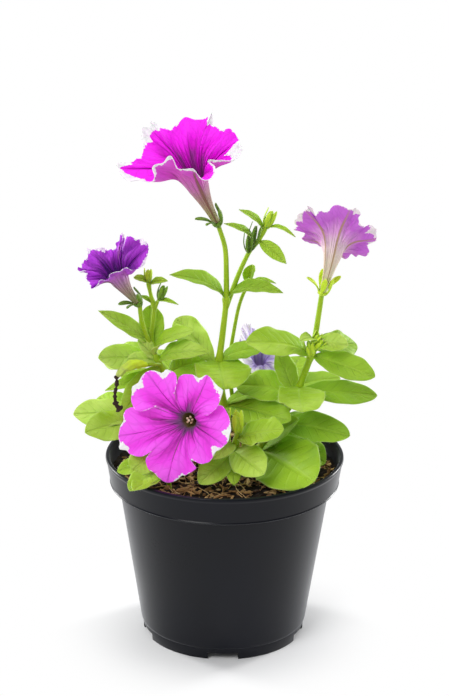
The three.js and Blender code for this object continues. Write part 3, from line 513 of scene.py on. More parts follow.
def petal_material(slot, inside, outside, tube, vein, rib, white, throat, veining=0.6, paleness=1.0):
    """inside and outside give four colours each from the throat to the margin, tube two from the calyx up,
    and throat the inside of the tube and a painted shade round its mouth.
    """
    s = Nodes(slot)
    q = s.mark("along")
    seam = s.mark("across")
    cloud = s.noise(150, 2) - 0.5
    fine = s.noise(700, 3)
    # The distance from a spoke grows with the distance from the throat, so veins keep their width.
    reach = s.math("MAXIMUM", q, 0.0) + 0.22
    aside = seam * reach
    fan = s.math("PINGPONG", (seam + cloud * 0.1) * 4.0, 0.5)
    rays = s.range(fan * reach, 0.03, 0.16, 1.0, 0.0) * s.range(q, 0.25, 0.95, 0.75, 0.25)
    forks = s.lines((q - aside * 0.7 + cloud * 0.08) * 7.0, 0.12) * s.range(q, 0.15, 0.4, 0.0, 0.32)
    net = s.math("MAXIMUM", s.range(aside, 0.008, 0.05, 1.0, 0.0), s.math("MAXIMUM", rays, forks))
    net = net * s.range(q, 0.3, 1.0, 1.0, 0.45)
    # The third mark moves the colour along the ramp with the petals' swells: painted shade and painted light
    # that follow the folds.
    shade = q + cloud * 0.4 + s.mark("tone") * 0.6 - 0.3
    face = s.mix(net * veining, s.ramp(shade, (0.03, 0.22, 0.6, 1.0), inside), vein)
    near = q + cloud * 0.1
    # The first throat colour is the inside of the tube; the second is painted shade round the mouth of the
    # throat, fading out a fifth of the way towards the margin.
    deep, mouth_shade = throat.split()
    face = s.mix(s.range(near, 0.0, 0.2, 0.75, 0.0), face, mouth_shade)
    face = s.mix(s.range(near, -0.12, 0.03, 1.0, 0.0), face, deep)
    low = s.mix(s.range(q, -0.95, -0.25), *tube.split())
    back = s.ramp(q + cloud * 0.25, (0.0, 0.3, 0.7, 1.0), outside)
    back = s.mix(s.range(q, -0.35, 0.12, 1.0, 0.0), back, low)
    stripes = s.lines(seam * 3.0, 0.1) * s.range(q, -0.1, 0.5, 0.8, 0.0)
    ribs = s.range(aside, 0.012, 0.055, 0.9, 0.0) * s.range(q, 0.5, 1.0, 1.0, 0.35)
    back = s.mix(s.math("MAXIMUM", stripes, ribs), back, rib)
    back = s.mix(forks * (veining * 0.5), back, vein)
    mask = s.mark("mask")
    edge = mask + (fine - 0.5) * s.range(mask, 0.05, 0.35, 0.0, 1.4)
    pale = s.ramp(s.noise(420, 3), (0.3, 0.7), white)
    colour = s.mix(s.range(edge, 0.46, 0.58, 0.0, paleness), s.mix(s.mark("outside"), face, back), pale)
    s.set(Base_Color=colour, Roughness=0.55, Specular_IOR_Level=0.2, Sheen_Weight=0.04, Sheen_Roughness=0.35)
    s.set(Subsurface_Weight=0.12, Subsurface_Scale=0.0008, Subsurface_Radius=(1.0, 0.5, 0.9))
    s.bump(fine * 0.35 - net * 0.9, 0.0007, 1.0)
    return s.owner


def simple_material(name, places, colours, scale, rough, bump, by="tone"):
    """Two or more colours spread by noise and by one of a piece's marks."""
    s = Nodes(name)
    grain = s.noise(scale, 4.0, 0.6)
    colour = s.ramp(s.mark(by) * 0.7 + grain * 0.45, places, colours)
    s.set(Base_Color=colour, Roughness=rough, Specular_IOR_Level=0.3)
    s.bump(grain, bump, 0.8)
    return s.owner


def pot_material():
    s = Nodes("pot_plastic")
    cloud = s.noise(14, 3)
    grain = s.noise(1300, 2)
    s.set(Base_Color=s.ramp(cloud, (0.3, 0.7), "04060d 080b17"))
    s.set(Roughness=s.range(cloud + grain * 0.3, 0.4, 0.9, 0.27, 0.36), Specular_IOR_Level=0.16)
    s.set(Coat_Weight=0.15, Coat_Roughness=0.2)
    s.set(Sheen_Weight=0.3, Sheen_Roughness=0.25, Sheen_Tint=(0.9, 0.93, 1, 1))
    s.bump(grain, 0.00006, 0.5)
    return s.owner


LEAF, STEM, SEPAL_SKIN = 0, 1, 2  # numbers of the materials in a leafy piece
GREENS = [leaf_material(), stem_material(), sepal_material()]
HAIR = hair_material()

# In each throat pair the second colour is painted shade round the mouth of the tube.
PETALS = {
    "petal_magenta": dict(
        inside="a0509e d434c4 fa48f0 ff64fc", outside="b0609c c850b8 d055c4 dc6ad0", tube="8a9a48 a88078",
        vein="7c0c80", rib="9a5a80", white="f0ecf0 ffffff", throat="8a7a40 8a6a90"),
    "petal_bright_magenta": dict(
        inside="942c90 cc0ac2 ee0ae6 fa24f4", outside="c070ac d458c0 d850cc e05cd8", tube="b0ac6a a8807c",
        vein="7c0870", rib="8a5c50", white="e2e0e4 fafafa", throat="5a3a50 70306e"),
    "petal_violet": dict(
        inside="4c1470 701894 9428b2 b83cda", outside="b480b0 c268cc ba54d0 ae48d0", tube="a8a870 a88a88",
        vein="400a68", rib="7c5c64", white="e2d8e8 faf6fc", throat="341040 48146a", paleness=0.9),
    "petal_pale_purple": dict(
        inside="80408e a04cb4 be5cd0 cc74da", outside="f8dce6 e4a4e2 c868d6 cc70dc", tube="faf4c4 f8e6d0",
        vein="8a3ca4", rib="b8946c", white="ece6e0 fcfaf6", throat="6a4a60 8a5a80",
        veining=0.4, paleness=0.85),
    "petal_lavender": dict(
        inside="a890dc b8a0e8 d0c0f2 f0e8fc", outside="b4a0dc c4b0ec dccaf8 f0e6ff", tube="b9c080 c8b8e0",
        vein="7a56c0", rib="7a58b0", white="e6e0f0 faf8ff", throat="9a80c8 a488d4",
        veining=0.8, paleness=0.6),
}

# ---- the blooms

TUBE_ROWS = 16
LIMB_ROWS = 38
PER_PETAL = 48
PETAL = 0.4  # thickness of a petal
PALE_BAND = 2.6  # depth of the pale patches beside a petal's tip
PALE_PLACE = 0.25  # where they lie between the tip (0) and the seam (1)
PALE_WIDTH = 0.1
FRILL_WIDTH = 0.22
FOLD_LINE = 0.5  # width of the pale line along the folds between two petals
EDGE_LINE = -0.4  # a line below 0 lets the colour run right to the edge
PALE_SPAN = 3.0  # the mark of the pale parts runs from 0 to 1 over this width

# Each bloom: where its tube starts, its throat, the way it faces and the radii of the tube's two ends. Then,
# round the margin, for each petal the points from its tip to the next petal, the middle one in the seam
# between them, and last how far its frills stand out before and after the tip and how wide its pale edge is.
BLOOMS = {}
BLOOMS["front"] = dict(
    base=(-10.6, -16.7, 150.8), throat=(-22, -44, 158), axis=(-0.38, -0.91, 0.14), tube=1.8, opening=5.2,
    petals=[
        ((-10.5, -52, 190), (-16, -51, 187.5), (-21.5, -48.5, 189.5), (-28, -45.5, 186.5),
         (-30.5, -48.5, 177.5), (-29, -49, 185), (-31, -46, 189.5), (-37, -42.5, 188.5), (1, 0.8, 0)),
        ((-47.5, -37, 186.5), (-53.5, -36.5, 177.5), (-57, -37.5, 169.5), (-53, -43.5, 163.5),
         (-41.5, -45, 168), (-49.5, -39, 165), (-59.5, -35.5, 162), (-62.5, -36, 153.5), (1, 1, 0)),
        ((-65, -36.5, 144.5), (-61.5, -39.5, 138), (-57, -43, 135), (-50.5, -46.5, 135),
         (-44.5, -49, 139.5), (-48, -46, 133.5), (-46.5, -48.5, 128), (-41, -51, 124.5), (0.4, 1, 0)),
        ((-34.5, -54, 121), (-27, -56, 126), (-21.5, -57.5, 129), (-17.5, -58.5, 132.5),
         (-20.5, -58.5, 138), (-13.5, -60, 136), (-8.5, -61.5, 139.5), (-5, -61, 146), (0.2, 0.6, 0)),
        ((-0.5, -62, 149), (3, -62, 157.5), (2, -60.5, 167), (-3.5, -56.5, 173),
         (-12, -57.5, 166.5), (-7.5, -61.5, 170.5), (-3.5, -61, 176), (-3.5, -58.5, 182), (1, 1, 0)),
    ],
    rise=5, lean=0.6, seed=1, crumple=1.1, slot="petal_magenta",
)
BLOOMS["top"] = dict(
    base=(-6.4, -7, 273), throat=(-17.5, -13, 297), axis=(-0.38, -0.2, 0.9), tube=2.2, opening=6.5,
    petals=[
        ((7, -6, 323), (5.5, -4, 325.5), (2.5, -2, 329), (-1, 0, 329),
         (-3, 2, 327.5), (-6, 4, 328.5), (-9, 6, 329.5), (-10, 8, 331.5), (6, 0, 0.2)),
        ((-11.5, 10, 334), (-17, 10, 331.5), (-25.5, 10, 333.5), (-30, 8, 330),
         (-34, 6, 327), (-37, 5.5, 327.5), (-40.5, 5, 327.5), (-43, 4.5, 327.5), (6.5, 0, 0.2)),
        ((-45.5, 4, 326.5), (-48, 1, 322.5), (-49.5, -2, 318.5), (-51, -5, 315),
         (-52, -8, 313.5), (-55, -11, 312.5), (-57.5, -14, 311.5), (-61, -16, 310), (6, 6, 0.2)),
        ((-64, -18, 308.5), (-55, -26, 303.5), (-46.5, -30, 303.5), (-43, -32, 307.5),
         (-44.5, -27, 312.5), (-38.5, -27, 315), (-34, -26, 319), (-29.5, -29, 312.5), (4, 4, 0.4)),
        ((-20, -33, 313), (-15, -37, 306.5), (-9, -36, 309), (-7, -31, 314),
         (-12, -24, 316), (-4, -20, 315), (3.5, -18, 313.5), (4, -11, 317.5), (0, 1.5, 2.6)),
    ],
    rise=3, lean=0.3, seed=2, crumple=1.0, slot="petal_bright_magenta",
)
BLOOMS["left"] = dict(
    base=(-54.6, -11, 222.8), throat=(-64.5, -15.5, 238), axis=(-0.45, -0.15, 0.88), tube=2, opening=5.5,
    petals=[
        ((-65, 4, 261), (-65.5, 4, 257.5), (-67.5, 3, 255.5), (-68, 2, 253),
         (-69.5, 1, 252), (-71, 0.5, 252.5), (-73, 0, 252), (-76.5, -2, 253), (1, 0, 0.3)),
        ((-81, -4, 253.5), (-84.5, -6, 253), (-84, -9, 250.5), (-86, -11, 249),
         (-87, -13, 248.5), (-88, -14, 247.5), (-87.5, -16, 246.5), (-88.5, -18, 247), (1.5, 1, 0.3)),
        ((-90, -20, 246.5), (-88, -21, 245.5), (-85, -23, 246), (-84, -24, 245),
         (-85, -26, 243), (-84, -28, 242), (-83, -29, 241), (-82, -31, 239.5), (0.5, 0.5, 0.3)),
        ((-81, -32, 238), (-75.5, -34, 242.5), (-71, -34, 244.5), (-69.5, -32, 247.5),
         (-64, -29, 248), (-60.5, -25, 249.5), (-56.5, -22, 246), (-50, -15, 248.5), (0, 0, 0.7)),
        ((-47.5, -9, 256.5), (-50.5, -6, 259.5), (-56, -3, 260.5), (-61, -1, 261),
         (-62.5, 0, 252), (-63, 2, 256.5), (-62.5, 3, 260), (-63.5, 4, 260.5), (0.5, 1, 0.3)),
    ],
    rise=3, lean=0.3, seed=3, crumple=1.2, slot="petal_violet",
)
BLOOMS["right"] = dict(
    base=(59.5, -1, 227.8), throat=(65, 1.5, 252), axis=(0.16, 0.6, 0.78), tube=2.1, opening=6.2,
    petals=[
        ((48, -3, 279), (50.5, -4, 279.5), (53, -5, 278), (54.5, -6, 277.5),
         (56, -7, 280.5), (60, -8, 280), (64, -9, 283.5), (67.5, -10, 285.5), (1.5, 2.5, 0.3)),
        ((74.5, -9, 281.5), (78, -8, 280), (80.5, -6, 278), (80, -4, 274.5),
         (81.5, -2, 270.5), (84, 0, 268.5), (87.5, 2, 268.5), (88.5, 4, 264), (0, 2.5, 0.3)),
        ((91.5, 8, 258), (89.5, 10, 255.5), (87, 12, 253), (88, 14, 248),
         (86, 16, 244.5), (82.5, 18, 245.5), (80.5, 20, 243), (77.5, 21, 243.5), (3, 1, 0.3)),
        ((73.5, 23, 241), (67.5, 26, 243.5), (64, 27, 244.5), (60.5, 28, 246),
         (58.5, 28, 247.5), (56.5, 27, 248.5), (52.5, 26, 249.5), (49, 24, 252), (0, 0, 0.3)),
        ((46.5, 22, 254), (48.5, 19, 257), (47.5, 16, 261), (42, 13, 262),
         (41.5, 11, 264), (44.5, 9, 266), (42, 6, 268.5), (43.5, 2, 272.5), (0, 0, 0.3)),
    ],
    rise=3, lean=0.3, seed=4, crumple=1.0, slot="petal_pale_purple",
)
BLOOMS["back"] = dict(
    base=(21, 24, 160), throat=(21.5, 26, 167.5), axis=(-0.05, 0.15, 0.98), tube=1.6, opening=3.2,
    petals=[
        ((33, 24, 170), (34, 30, 173), (32, 36, 178.5), (31, 39, 181.5), (0.3, 0.3, 0.3)),
        ((27, 41, 184.5), (23.5, 42, 185.5), (20, 42, 186), (17, 41, 188.5), (0.3, 0.3, 0.3)),
        ((13, 38, 192), (10, 34, 191), (10.5, 30, 189), (9, 26, 187), (0.3, 0.3, 0.3)),
        ((9, 22, 184), (10, 17, 178), (13, 14, 172), (17, 12, 168), (0.3, 0.3, 0.3)),
        ((22, 11, 166.5), (27, 12, 167), (31, 15, 167), (33, 19, 168), (0.3, 0.3, 0.3)),
    ],
    rise=5, lean=0.2, seed=5, crumple=1.0, slot="petal_lavender",
)

for shape in BLOOMS.values():
    shape["base"] = np.array(shape["base"], float)
    shape["throat"] = np.array(shape["throat"], float)
    shape["axis"] = unit(np.array(shape["axis"], float))


def closed_curve(points, per_point):
    """A smooth closed curve through points, with so many steps from each to the next."""
    share = (np.arange(per_point) / per_point)[None, :, None]
    before, here, after, beyond = (np.roll(points, shift, axis=0)[:, None] for shift in (1, 0, -1, -2))
    curve = (2 * here + (after - before) * share + (2 * before - 5 * here + 4 * after - beyond) * share ** 2
             + (3 * here - before - 3 * after + beyond) * share ** 3) / 2
    return curve.reshape(-1, 3)


def corolla(build, base, throat, axis, tube, opening, petals, rise, lean, seed, crumple, slot):
    """A trumpet that leaves the calyx at base, opens round throat along axis and ends in its margin."""
    across = unit(np.array([1.0, 0, 0]) - axis * axis[0])
    upward = np.cross(axis, across)
    bend = throat - axis * np.linalg.norm(throat - base) / 2
    count = len(petals)
    places = len(petals[0]) - 1
    margin = np.array([point for row in petals for point in row[:-1]], float)
    margin = closed_curve(margin, PER_PETAL // places)

    # Round the bloom: b counts petals, t runs from one tip to the next, and seam is 1 halfway between them.
    b = np.arange(PER_PETAL * count) / PER_PETAL
    k = b.astype(int)
    t = b - k
    seam = 1 - np.abs(2 * t - 1)
    swing = 2 * math.pi * b
    marked = np.array([row[place] for row in petals for place in (0, places // 2)], float) - throat
    headings = np.unwrap(np.arctan2(marked @ upward, marked @ across))
    turn = math.copysign(2 * math.pi, headings[-1] - headings[0])
    angle = np.interp(2 * b, np.arange(2 * count + 1), np.append(headings, headings[0] + turn))
    spokes = spokes_of(angle, across, upward)

    # The margin's frills, and its fine ragged edge.
    frills = np.array([row[-1] for row in petals], float)
    beside = np.where(t < 0.5, frills[k, 1], frills[(k + 1) % count, 0])
    line = np.interp(b, np.arange(count + 1), np.append(frills[:, 2], frills[0, 2]))
    patch = np.exp(-((seam - PALE_PLACE) / PALE_WIDTH) ** 2)
    frill = beside * np.exp(-((seam - PALE_PLACE) / FRILL_WIDTH) ** 2)
    start = throat + opening * spokes
    outward = unit(margin - start)
    free = unit(np.cross(np.roll(margin, -1, axis=0) - np.roll(margin, 1, axis=0), axis))
    free = free * math.copysign(1, np.sum(free * outward))
    ragged = 0.2 * np.sin(6.2 * swing + seed) + 0.16 * np.sin(9.4 * swing + 2 * seed)
    margin = margin + outward * (frill + ragged * (0.6 + 4 * patch * np.minimum(beside, 1)))[:, None]

    # Near the margin a petal runs square to its edge, so that folds hang over their neighbours.
    reach = np.linalg.norm(margin - start, axis=1)[:, None]
    climb = ((margin - start) @ axis)[:, None]
    square = lean * smooth(0, 0.15, 1 - seam)[:, None]
    flat = unit(unit(margin - start - climb * axis) * (1 - square) + free * square)
    steep = np.clip(climb / reach, 0, 1)
    first = start + axis * np.maximum(climb * 0.8, rise) + spokes * reach * 0.12
    last = margin - unit(outward * steep + flat * (1 - steep)) * reach * 0.42

    tube_q = np.linspace(0, 1, TUBE_ROWS, endpoint=False)
    limb_q = 1 - (1 - np.linspace(0, 1, LIMB_ROWS + 1)) ** 1.15
    points = []
    for q in tube_q:
        centre = (1 - q) ** 2 * base + 2 * q * (1 - q) * bend + q * q * throat
        ahead = unit((1 - q) * (bend - base) + q * (throat - bend))
        radius = (tube + (opening - tube) * q ** 1.8) * (1 + 0.06 * q * np.cos(2 * math.pi * t))
        points.append(centre + (spokes * radius[:, None]) @ turning(axis, ahead).T)
    for q in limb_q:
        p = 1 - q
        points.append(p ** 3 * start + 3 * q * p ** 2 * first + 3 * q * q * p * last + q ** 3 * margin)
    surface = np.array(points)

    # Ripples at the margin, broad swells, the groove of each seam, the crease of each petal and a fine nap.
    along = np.concatenate([tube_q - 1, limb_q])[:, None]
    inner = np.clip(along, 0, 1)
    ripples = (inner ** 5 * (0.6 * np.sin(3.4 * swing + seed) + 0.35 * np.sin(5.2 * swing + 2 * seed))
               * (0.5 + patch + 0.25 * frill))
    wave = np.sin(1.8 * swing + 5 * inner + seed) * np.sin(math.pi * seam)
    swells = 5.2 * inner ** 1.5 * (1 - inner) * wave
    groove = 0.55 * np.exp(-(seam / 0.05) ** 2) * np.sin(math.pi * np.clip(inner * 1.1, 0, 1))
    crease = 0.5 * np.exp(-((seam - 1) / 0.06) ** 2) * inner
    nap = 0.12 * inner * np.sin(15 * inner + 3 * np.sin(swing)) * np.sin(4.2 * swing)
    height = crumple * (ripples + swells) - groove - crease + nap
    surface = surface + normals_of(surface, True) * height[..., None]

    fleck = 1 + 0.3 * np.sin(3.4 * swing + 1.7 * seed) + 0.2 * np.sin(7.6 * swing)
    fold = FOLD_LINE * smooth(0.6, 0.9, seam)
    depth = (PALE_BAND * patch * np.minimum(beside, 1) + line + fold) * fleck + frill + EDGE_LINE
    mask = np.clip(0.5 + ((inner - 1) * reach[None, :, 0] + depth) / PALE_SPAN, 0, 1)
    thickness = PETAL * (1 - 0.45 * inner ** 3) * np.ones_like(mask)
    # The third mark carries the swells' wave, painted into the petal colour as shade and light that follow
    # the swells.
    build.shell(surface, marks_like(surface, along, seam, 0.5 + 0.5 * wave, mask), thickness, closed=True)


ANTHER = simple_material("anther", (0.2, 0.5, 0.8), "a87c5e d2ab8a efd6bc", 900, 0.7, 0.0004)
ANTHERS = 5


def stamens(build, base, throat, axis, opening, seed):
    """Five anthers on their threads and the stigma between them, just inside the throat."""
    side = unit(np.cross(axis, [0.2, 0.1, 1]))
    foot = base + (throat - base) * 0.35
    for k in range(ANTHERS + 1):
        stigma = k == ANTHERS
        spoke = turned(side, axis, 2 * math.pi * k / ANTHERS + seed)
        out = 0 if stigma else opening * 0.34
        depth = stigma - 1.2 - 1.1 * ((k * 0.618 + seed) % 1)
        place = throat + spoke * out + axis * depth
        thread = Route([foot, (foot + place) / 2 + axis * 0.3, place])
        build.tube(thread, 0.22, 0.18, sides=6, step=2, tone=0.2)
        build.lump(place - axis * 0.7 - spoke * 0.3, place + axis * 0.9 + spoke * 0.5, 0.85, sides=10, rows=8,
                   tone=0.2 + 0.12 * k)


for name, shape in BLOOMS.items():
    slot = shape["slot"]
    build = Build()
    corolla(build, **shape)
    make_piece(f"bloom_{name}_petals", build, [petal_material(slot, **PETALS[slot])], [f"bloom_{name}"])
    build = Build()
    stamens(build, *(shape[key] for key in ("base", "throat", "axis", "opening", "seed")))
    make_piece(f"bloom_{name}_anthers", build, [ANTHER], [f"bloom_{name}"])

# ---- stems and leaves

SHOOT_FOOT = 96.5
SEAT = 0.3  # how far a bloom stands off its cup
CUP_DEPTH = 3.8
CUP_RADIUS = 3.1
CUP_SHARES = (0.48, 0.62, 0.8, 0.93, 1.0, 1.0)  # radii of the cup from its foot up

# Each stem: the shoot that it belongs to, its radius at its foot and at its tip, and its route.
STEMS = {
    "main": ["main_shoot", 2.8, 1.4, [
        (1.8, 3.6, SHOOT_FOOT), (1.5, 3.3, 112), (0.5, 2.5, 140), (-4, 0, 176), (-2, 0, 198), (0, -1, 220),
        (0, -2, 239), (-1, -4, 256)]],
    "side": ["main_shoot", 1.7, 1.2, [
        (0, -1, 216), (5, 1, 230), (9, 3, 240), (15, 5, 252), (20, 6, 258), (24, 7, 266)]],
    "thin": ["thin_shoot", 1.5, 1.1, [
        (9, 14, SHOOT_FOOT), (8.6, 14, 112), (6, 13, 140), (2.5, 11.5, 174), (5, 11.5, 196), (9, 12, 216),
        (14, 13, 228)]],
    "left": ["left_shoot", 2.4, 1.3, [
        (-14, 0, SHOOT_FOOT), (-14.5, 0, 112), (-18, 0, 130), (-23, 0, 152), (-37, -2, 173), (-44, -2, 184),
        (-46, 0, 195), (-45, 1, 206), (-44, 2, 217)]],
    "left_pedicel": ["left_shoot", 1.6, 1.4, [(-45, -1, 188), (-49, -4, 198), (-52, -8, 211)]],
    "left_top": ["left_shoot", 1.3, 1.1, [(-44, 2, 214), (-47, 3, 225), (-48, 3, 232)]],
    "dark_stalk": ["left_shoot", 1.1, 0.9, [(-44, 2, 213), (-42.5, 0, 218), (-41, -0.5, 222)]],
    "spent_pedicel": ["left_shoot", 1.0, 1.2, [(-40, -2.5, 179), (-43.5, -8, 181), (-48.4, -13.6, 182.5)]],
    "right": ["right_shoot", 2.8, 1.6, [
        (20, 4, SHOOT_FOOT), (20.4, 3.4, 112), (24, 0, 126), (34, -2, 142), (44, -4, 160), (50, -6, 178),
        (53, -6, 188), (55, -5, 198), (57, -2, 211)]],
    "front": ["front_shoot", 1.9, 1.3, [
        (7, -29.5, SHOOT_FOOT), (6.5, -29.3, 112), (5, -28, 130), (8, -31, 146)]],
    "front_pedicel": ["front_pedicel", 1.5, 1.3, [(-8, -9.5, SHOOT_FOOT), (-7.8, -9.3, 112), (-6, -8, 138)]],
    "low_left": ["low_left_shoot", 1.7, 1.2, [
        (-32, -16, SHOOT_FOOT), (-33, -16, 112), (-44, -14, 132), (-54, -10, 150)]],
    "low_front": ["low_front_shoot", 1.6, 1.2, [
        (-34, -32, SHOOT_FOOT), (-34.5, -32.5, 112), (-40, -35, 124), (-43, -33, 132)]],
    "back_left": ["back_left_shoot", 1.9, 1.3, [
        (-20, 26, SHOOT_FOOT), (-21, 27, 112), (-27, 33, 136), (-32, 38, 152)]],
    "back_right": ["back_right_shoot", 1.9, 1.3, [
        (28, 28, SHOOT_FOOT), (29, 29, 112), (35, 35, 132), (40, 42, 148)]],
    "back_pedicel": ["back_pedicel", 1.4, 1.3, [(12, 25, SHOOT_FOOT), (12, 25, 112), (14.5, 24.5, 140)]],
}

# For each stem its leaves: the height where a leaf grows from it, its heading, rise, length and width, then
# arch, roll, cup and how young it is (0 old and dark, 1 young and pale), and last its outline where that is
# not ovate. A leaf's number in the whole table sets its ripples.
LEAVES = [
    ("main", [
        (221, -168, 28, 39, 15, 0.15, -22, 0.35, 0.35, "lance"),
        (222, -11, 10, 35, 15, 0.17, 15, 0.3, 0.35, "lance"),
        (181, -82, -14, 31, 35, 0.03, 0, 0.16, 0.5, "broad"),
        (175, 155, 45, 41, 20, 0.06, -34, 0.12, 0.6, "spoon"),
        (181, 8, 16, 27, 16, 0.1, 22, 0.1, 0.35),
        (150, -33, 1, 48, 25, 0.05, 22, 0.1, 0.45),
    ]),
    ("side", [
        (254, -157, 41, 25, 7, 0.2, -30, 0.3, 0.4, "lance"),
        (263, -165, 45, 21, 7, 0.15, -30, 0.3, 0.4, "lance"),
        (264, -15, -9, 19, 5, 0.2, 10, 0.3, 0.5, "lance"),
        (257, -36, -27, 23, 9, 0.1, 40, 0.3, 0.5, "lance"),
    ]),
    ("thin", [
        (227, -59, 76, 14, 9, 0.05, 0, 0.3, 0.4),
        (227, -23, 9, 18, 5, 0.15, 10, 0.3, 0.4, "lance"),
    ]),
    ("left", [
        (192, -159, 37, 42, 12, 0.06, -50, 0.3, 0.55, "lance"),
        (189, 96, 61, 27, 16, 0.05, 0, 0.12, 0.5),
        (189, -6, 27, 28, 14, 0.12, 22, 0.2, 0.5),
        (181, -20, 17, 35, 17, 0.15, 28, 0.2, 0.55, "lance"),
        (185, 163, -15, 33, 20, 0.1, -38, 0.12, 0.65),
        (184, -149, 9, 39, 18, -0.03, -50, 0.12, 0.7),
        (182, -158, 52, 18, 10, 0.1, -58, 0.3, 0.9),
        (181, -148, 14, 21, 9, 0.1, -40, 0.3, 0.9),
        (182, -70, 60, 14, 7, 0.15, 25, 0.5, 0.95, "lance"),
        (178, -146, -45, 36, 17, 0.08, -45, 0.1, 0.5),
        (174, -170, -16, 38, 9, 0.05, -40, 0.2, 0.45, "lance"),
        (172, 16, 17, 25, 20, 0.1, 30, 0.15, 0.45),
        (190, 34, 16, 14, 10, 0.1, 0, 0.2, 0.5),
    ]),
    ("left_top", [
        (230, -160, 27, 10, 6, 0.15, -30, 0.3, 0.5),
        (229, -15, 18, 12, 6, 0.15, 30, 0.3, 0.5, "lance"),
        (217, 165, 30, 9, 4, 0.1, -20, 0.3, 0.4, "lance"),
        (217, -22, 6, 16, 4, 0.2, 20, 0.3, 0.4, "lance"),
    ]),
    ("low_left", [
        (148, -163, 7, 42, 21, 0.04, -38, 0.12, 0.7),
        (146, -142, 1, 42, 21, 0.03, -42, 0.12, 0.6),
        (149, 146, 5, 32, 15, 0.1, -30, 0.2, 0.5),
    ]),
    ("low_front", [
        (119, -120, 2, 34, 15, 0.03, 0, 0.12, 0.45),
        (120, -128, -4, 31, 16, 0.1, -10, 0.2, 0.5),
        (131, -146, -24, 18, 18, 0.08, -30, 0.12, 0.5),
        (127, -165, -10, 25, 13, 0.08, -30, 0.12, 0.5),
    ]),
    ("right", [
        (187, -163, 17, 43, 25, 0.12, -25, 0.12, 0.5),
        (160, 151, 65, 29, 15, 0.03, -30, 0.15, 0.5),
        (187, -17, -13, 41, 19, 0.02, 36, 0.12, 0.4),
        (191, 38, -7, 35, 20, 0.05, 35, 0.1, 0.3),
        (163, 10, -7, 50, 17, 0.02, 42, 0.1, 0.35),
        (166, -88, -9, 31, 29, 0.03, 0, 0.1, 0.55, "broad"),
        (141, -20, -3, 46, 21, 0.05, 38, 0.1, 0.3),
        (132, -17, -22, 39, 26, 0.06, 30, 0.12, 0.25),
        (121, -60, 2, 64, 42, 0.04, 34, 0.12, 0.4),
        (158, 172, 10, 36, 24, 0.14, -30, 0.12, 0.4),
        (122, -35, 44, 38, 16, 0.05, 60, 0.5, 0.35),
        (193, -127, 30, 15, 9, 0.3, -20, 0.3, 0.6),
        (194, -18, 6, 21, 14, 0.1, 35, 0.2, 0.6),
    ]),
    ("front", [
        (132, -56, -7, 33, 22, 0.08, 35, 0.12, 0.6),
        (141, -18, 18, 31, 24, 0.05, 25, 0.12, 0.5),
        (129, -130, -17, 32, 17, 0.08, -30, 0.12, 0.55),
        (137, -122, -4, 24, 12, 0.1, -20, 0.15, 0.6),
        (126, -88, -19, 23, 10, 0.1, 0, 0.2, 0.4),
    ]),
    ("back_left", [
        (151, 120, 25, 32, 20, 0.1, 0, 0.15, 0.4),
        (148, 178, 12, 36, 19, 0.1, -10, 0.15, 0.35),
        (145, 62, 18, 32, 20, 0.1, 10, 0.15, 0.4),
        (134, 100, -4, 36, 21, 0.12, 0, 0.12, 0.3),
        (126, 165, -2, 38, 21, 0.12, 0, 0.12, 0.3),
    ]),
    ("back_right", [
        (147, 70, 25, 30, 19, 0.1, 0, 0.15, 0.4),
        (144, 10, 14, 36, 19, 0.1, 10, 0.15, 0.35),
        (141, 128, 18, 32, 19, 0.1, -10, 0.15, 0.4),
        (130, 85, -4, 34, 21, 0.12, 0, 0.12, 0.3),
        (124, 25, -2, 38, 21, 0.12, 0, 0.12, 0.3),
    ]),
    ("main", [
        (150, 12, 14, 30, 19, 0.1, 0, 0.1, 0.4),
    ]),
]

# Each closed bud: its shoot, its foot, its tip, its widest radius and its tone (0 dark, 1 pale).
BUDS = [
    ("main_shoot", (24, 7, 265), (28, 7, 276), 2.9, 0.7),
    ("main_shoot", (14.5, 4.8, 251), (18.5, 2.5, 268), 1.7, 0.2),
    ("main_shoot", (13.5, 4.5, 250), (13.5, 0, 263), 1.5, 0.2),
    ("left_shoot", (-48, 3, 231), (-48, 3, 239), 2.4, 0.75),
    ("left_shoot", (-41, -0.5, 221), (-38, -1, 230), 2.4, 0.3),
    ("right_shoot", (53, -6, 187), (51, -13, 198), 2.4, 0.9),
    ("right_shoot", (54, -6, 191), (60, -11, 199), 2.2, 0.85),
    ("right_shoot", (54, -6, 193), (57.5, -7, 202), 1.9, 0.75),
    ("front_shoot", (8, -31, 145), (7, -34, 161), 3.4, 0.8),
]

# Five sepals round the foot of each bloom: the stem that carries it, their length, how far each spreads, how
# much it curls and how pale they are.
CALYCES = {
    "front": ("front_pedicel", 10, (30, 30, 30, 30, 30), 0.08, 0.4),
    "top": ("main", 12, (28, 40, 46, 24, 14), 0.1, 0.2),
    "left": ("left_pedicel", 10, (16, 46, 42, 26, 14), 0.1, 0.2),
    "right": ("right", 13, (24, 44, 8, 8, 44), 0.08, 0.85),
    "back": ("back_pedicel", 8, (32, 32, 32, 32, 32), 0.08, 0.4),
}
SEPAL = 3.6  # width of a sepal
SEPAL_DEPTH = 0.9
OPEN_SEPAL = 40  # a sepal that spreads further than this curls outwards

OUTLINES = {"ovate": (0.8, 0.66), "lance": (0.9, 0.95), "broad": (0.45, 0.5), "spoon": (1.35, 0.6)}
STALK = 0.8
POINT = 0.35
CROWDING = 1.25  # rows of points stand closer towards the tip
BLADE = 0.5  # thickness of a leaf
WIDE_LEAF = 20
LONG_LEAF = 30


def half_width(u, width, outline):
    rise, fall = OUTLINES[outline]
    widest = rise / (rise + fall)
    share = (u / widest) ** rise * ((1 - u) / (1 - widest)) ** fall
    return np.maximum(width / 2 * share, np.where(u < 0.5, STALK, POINT))


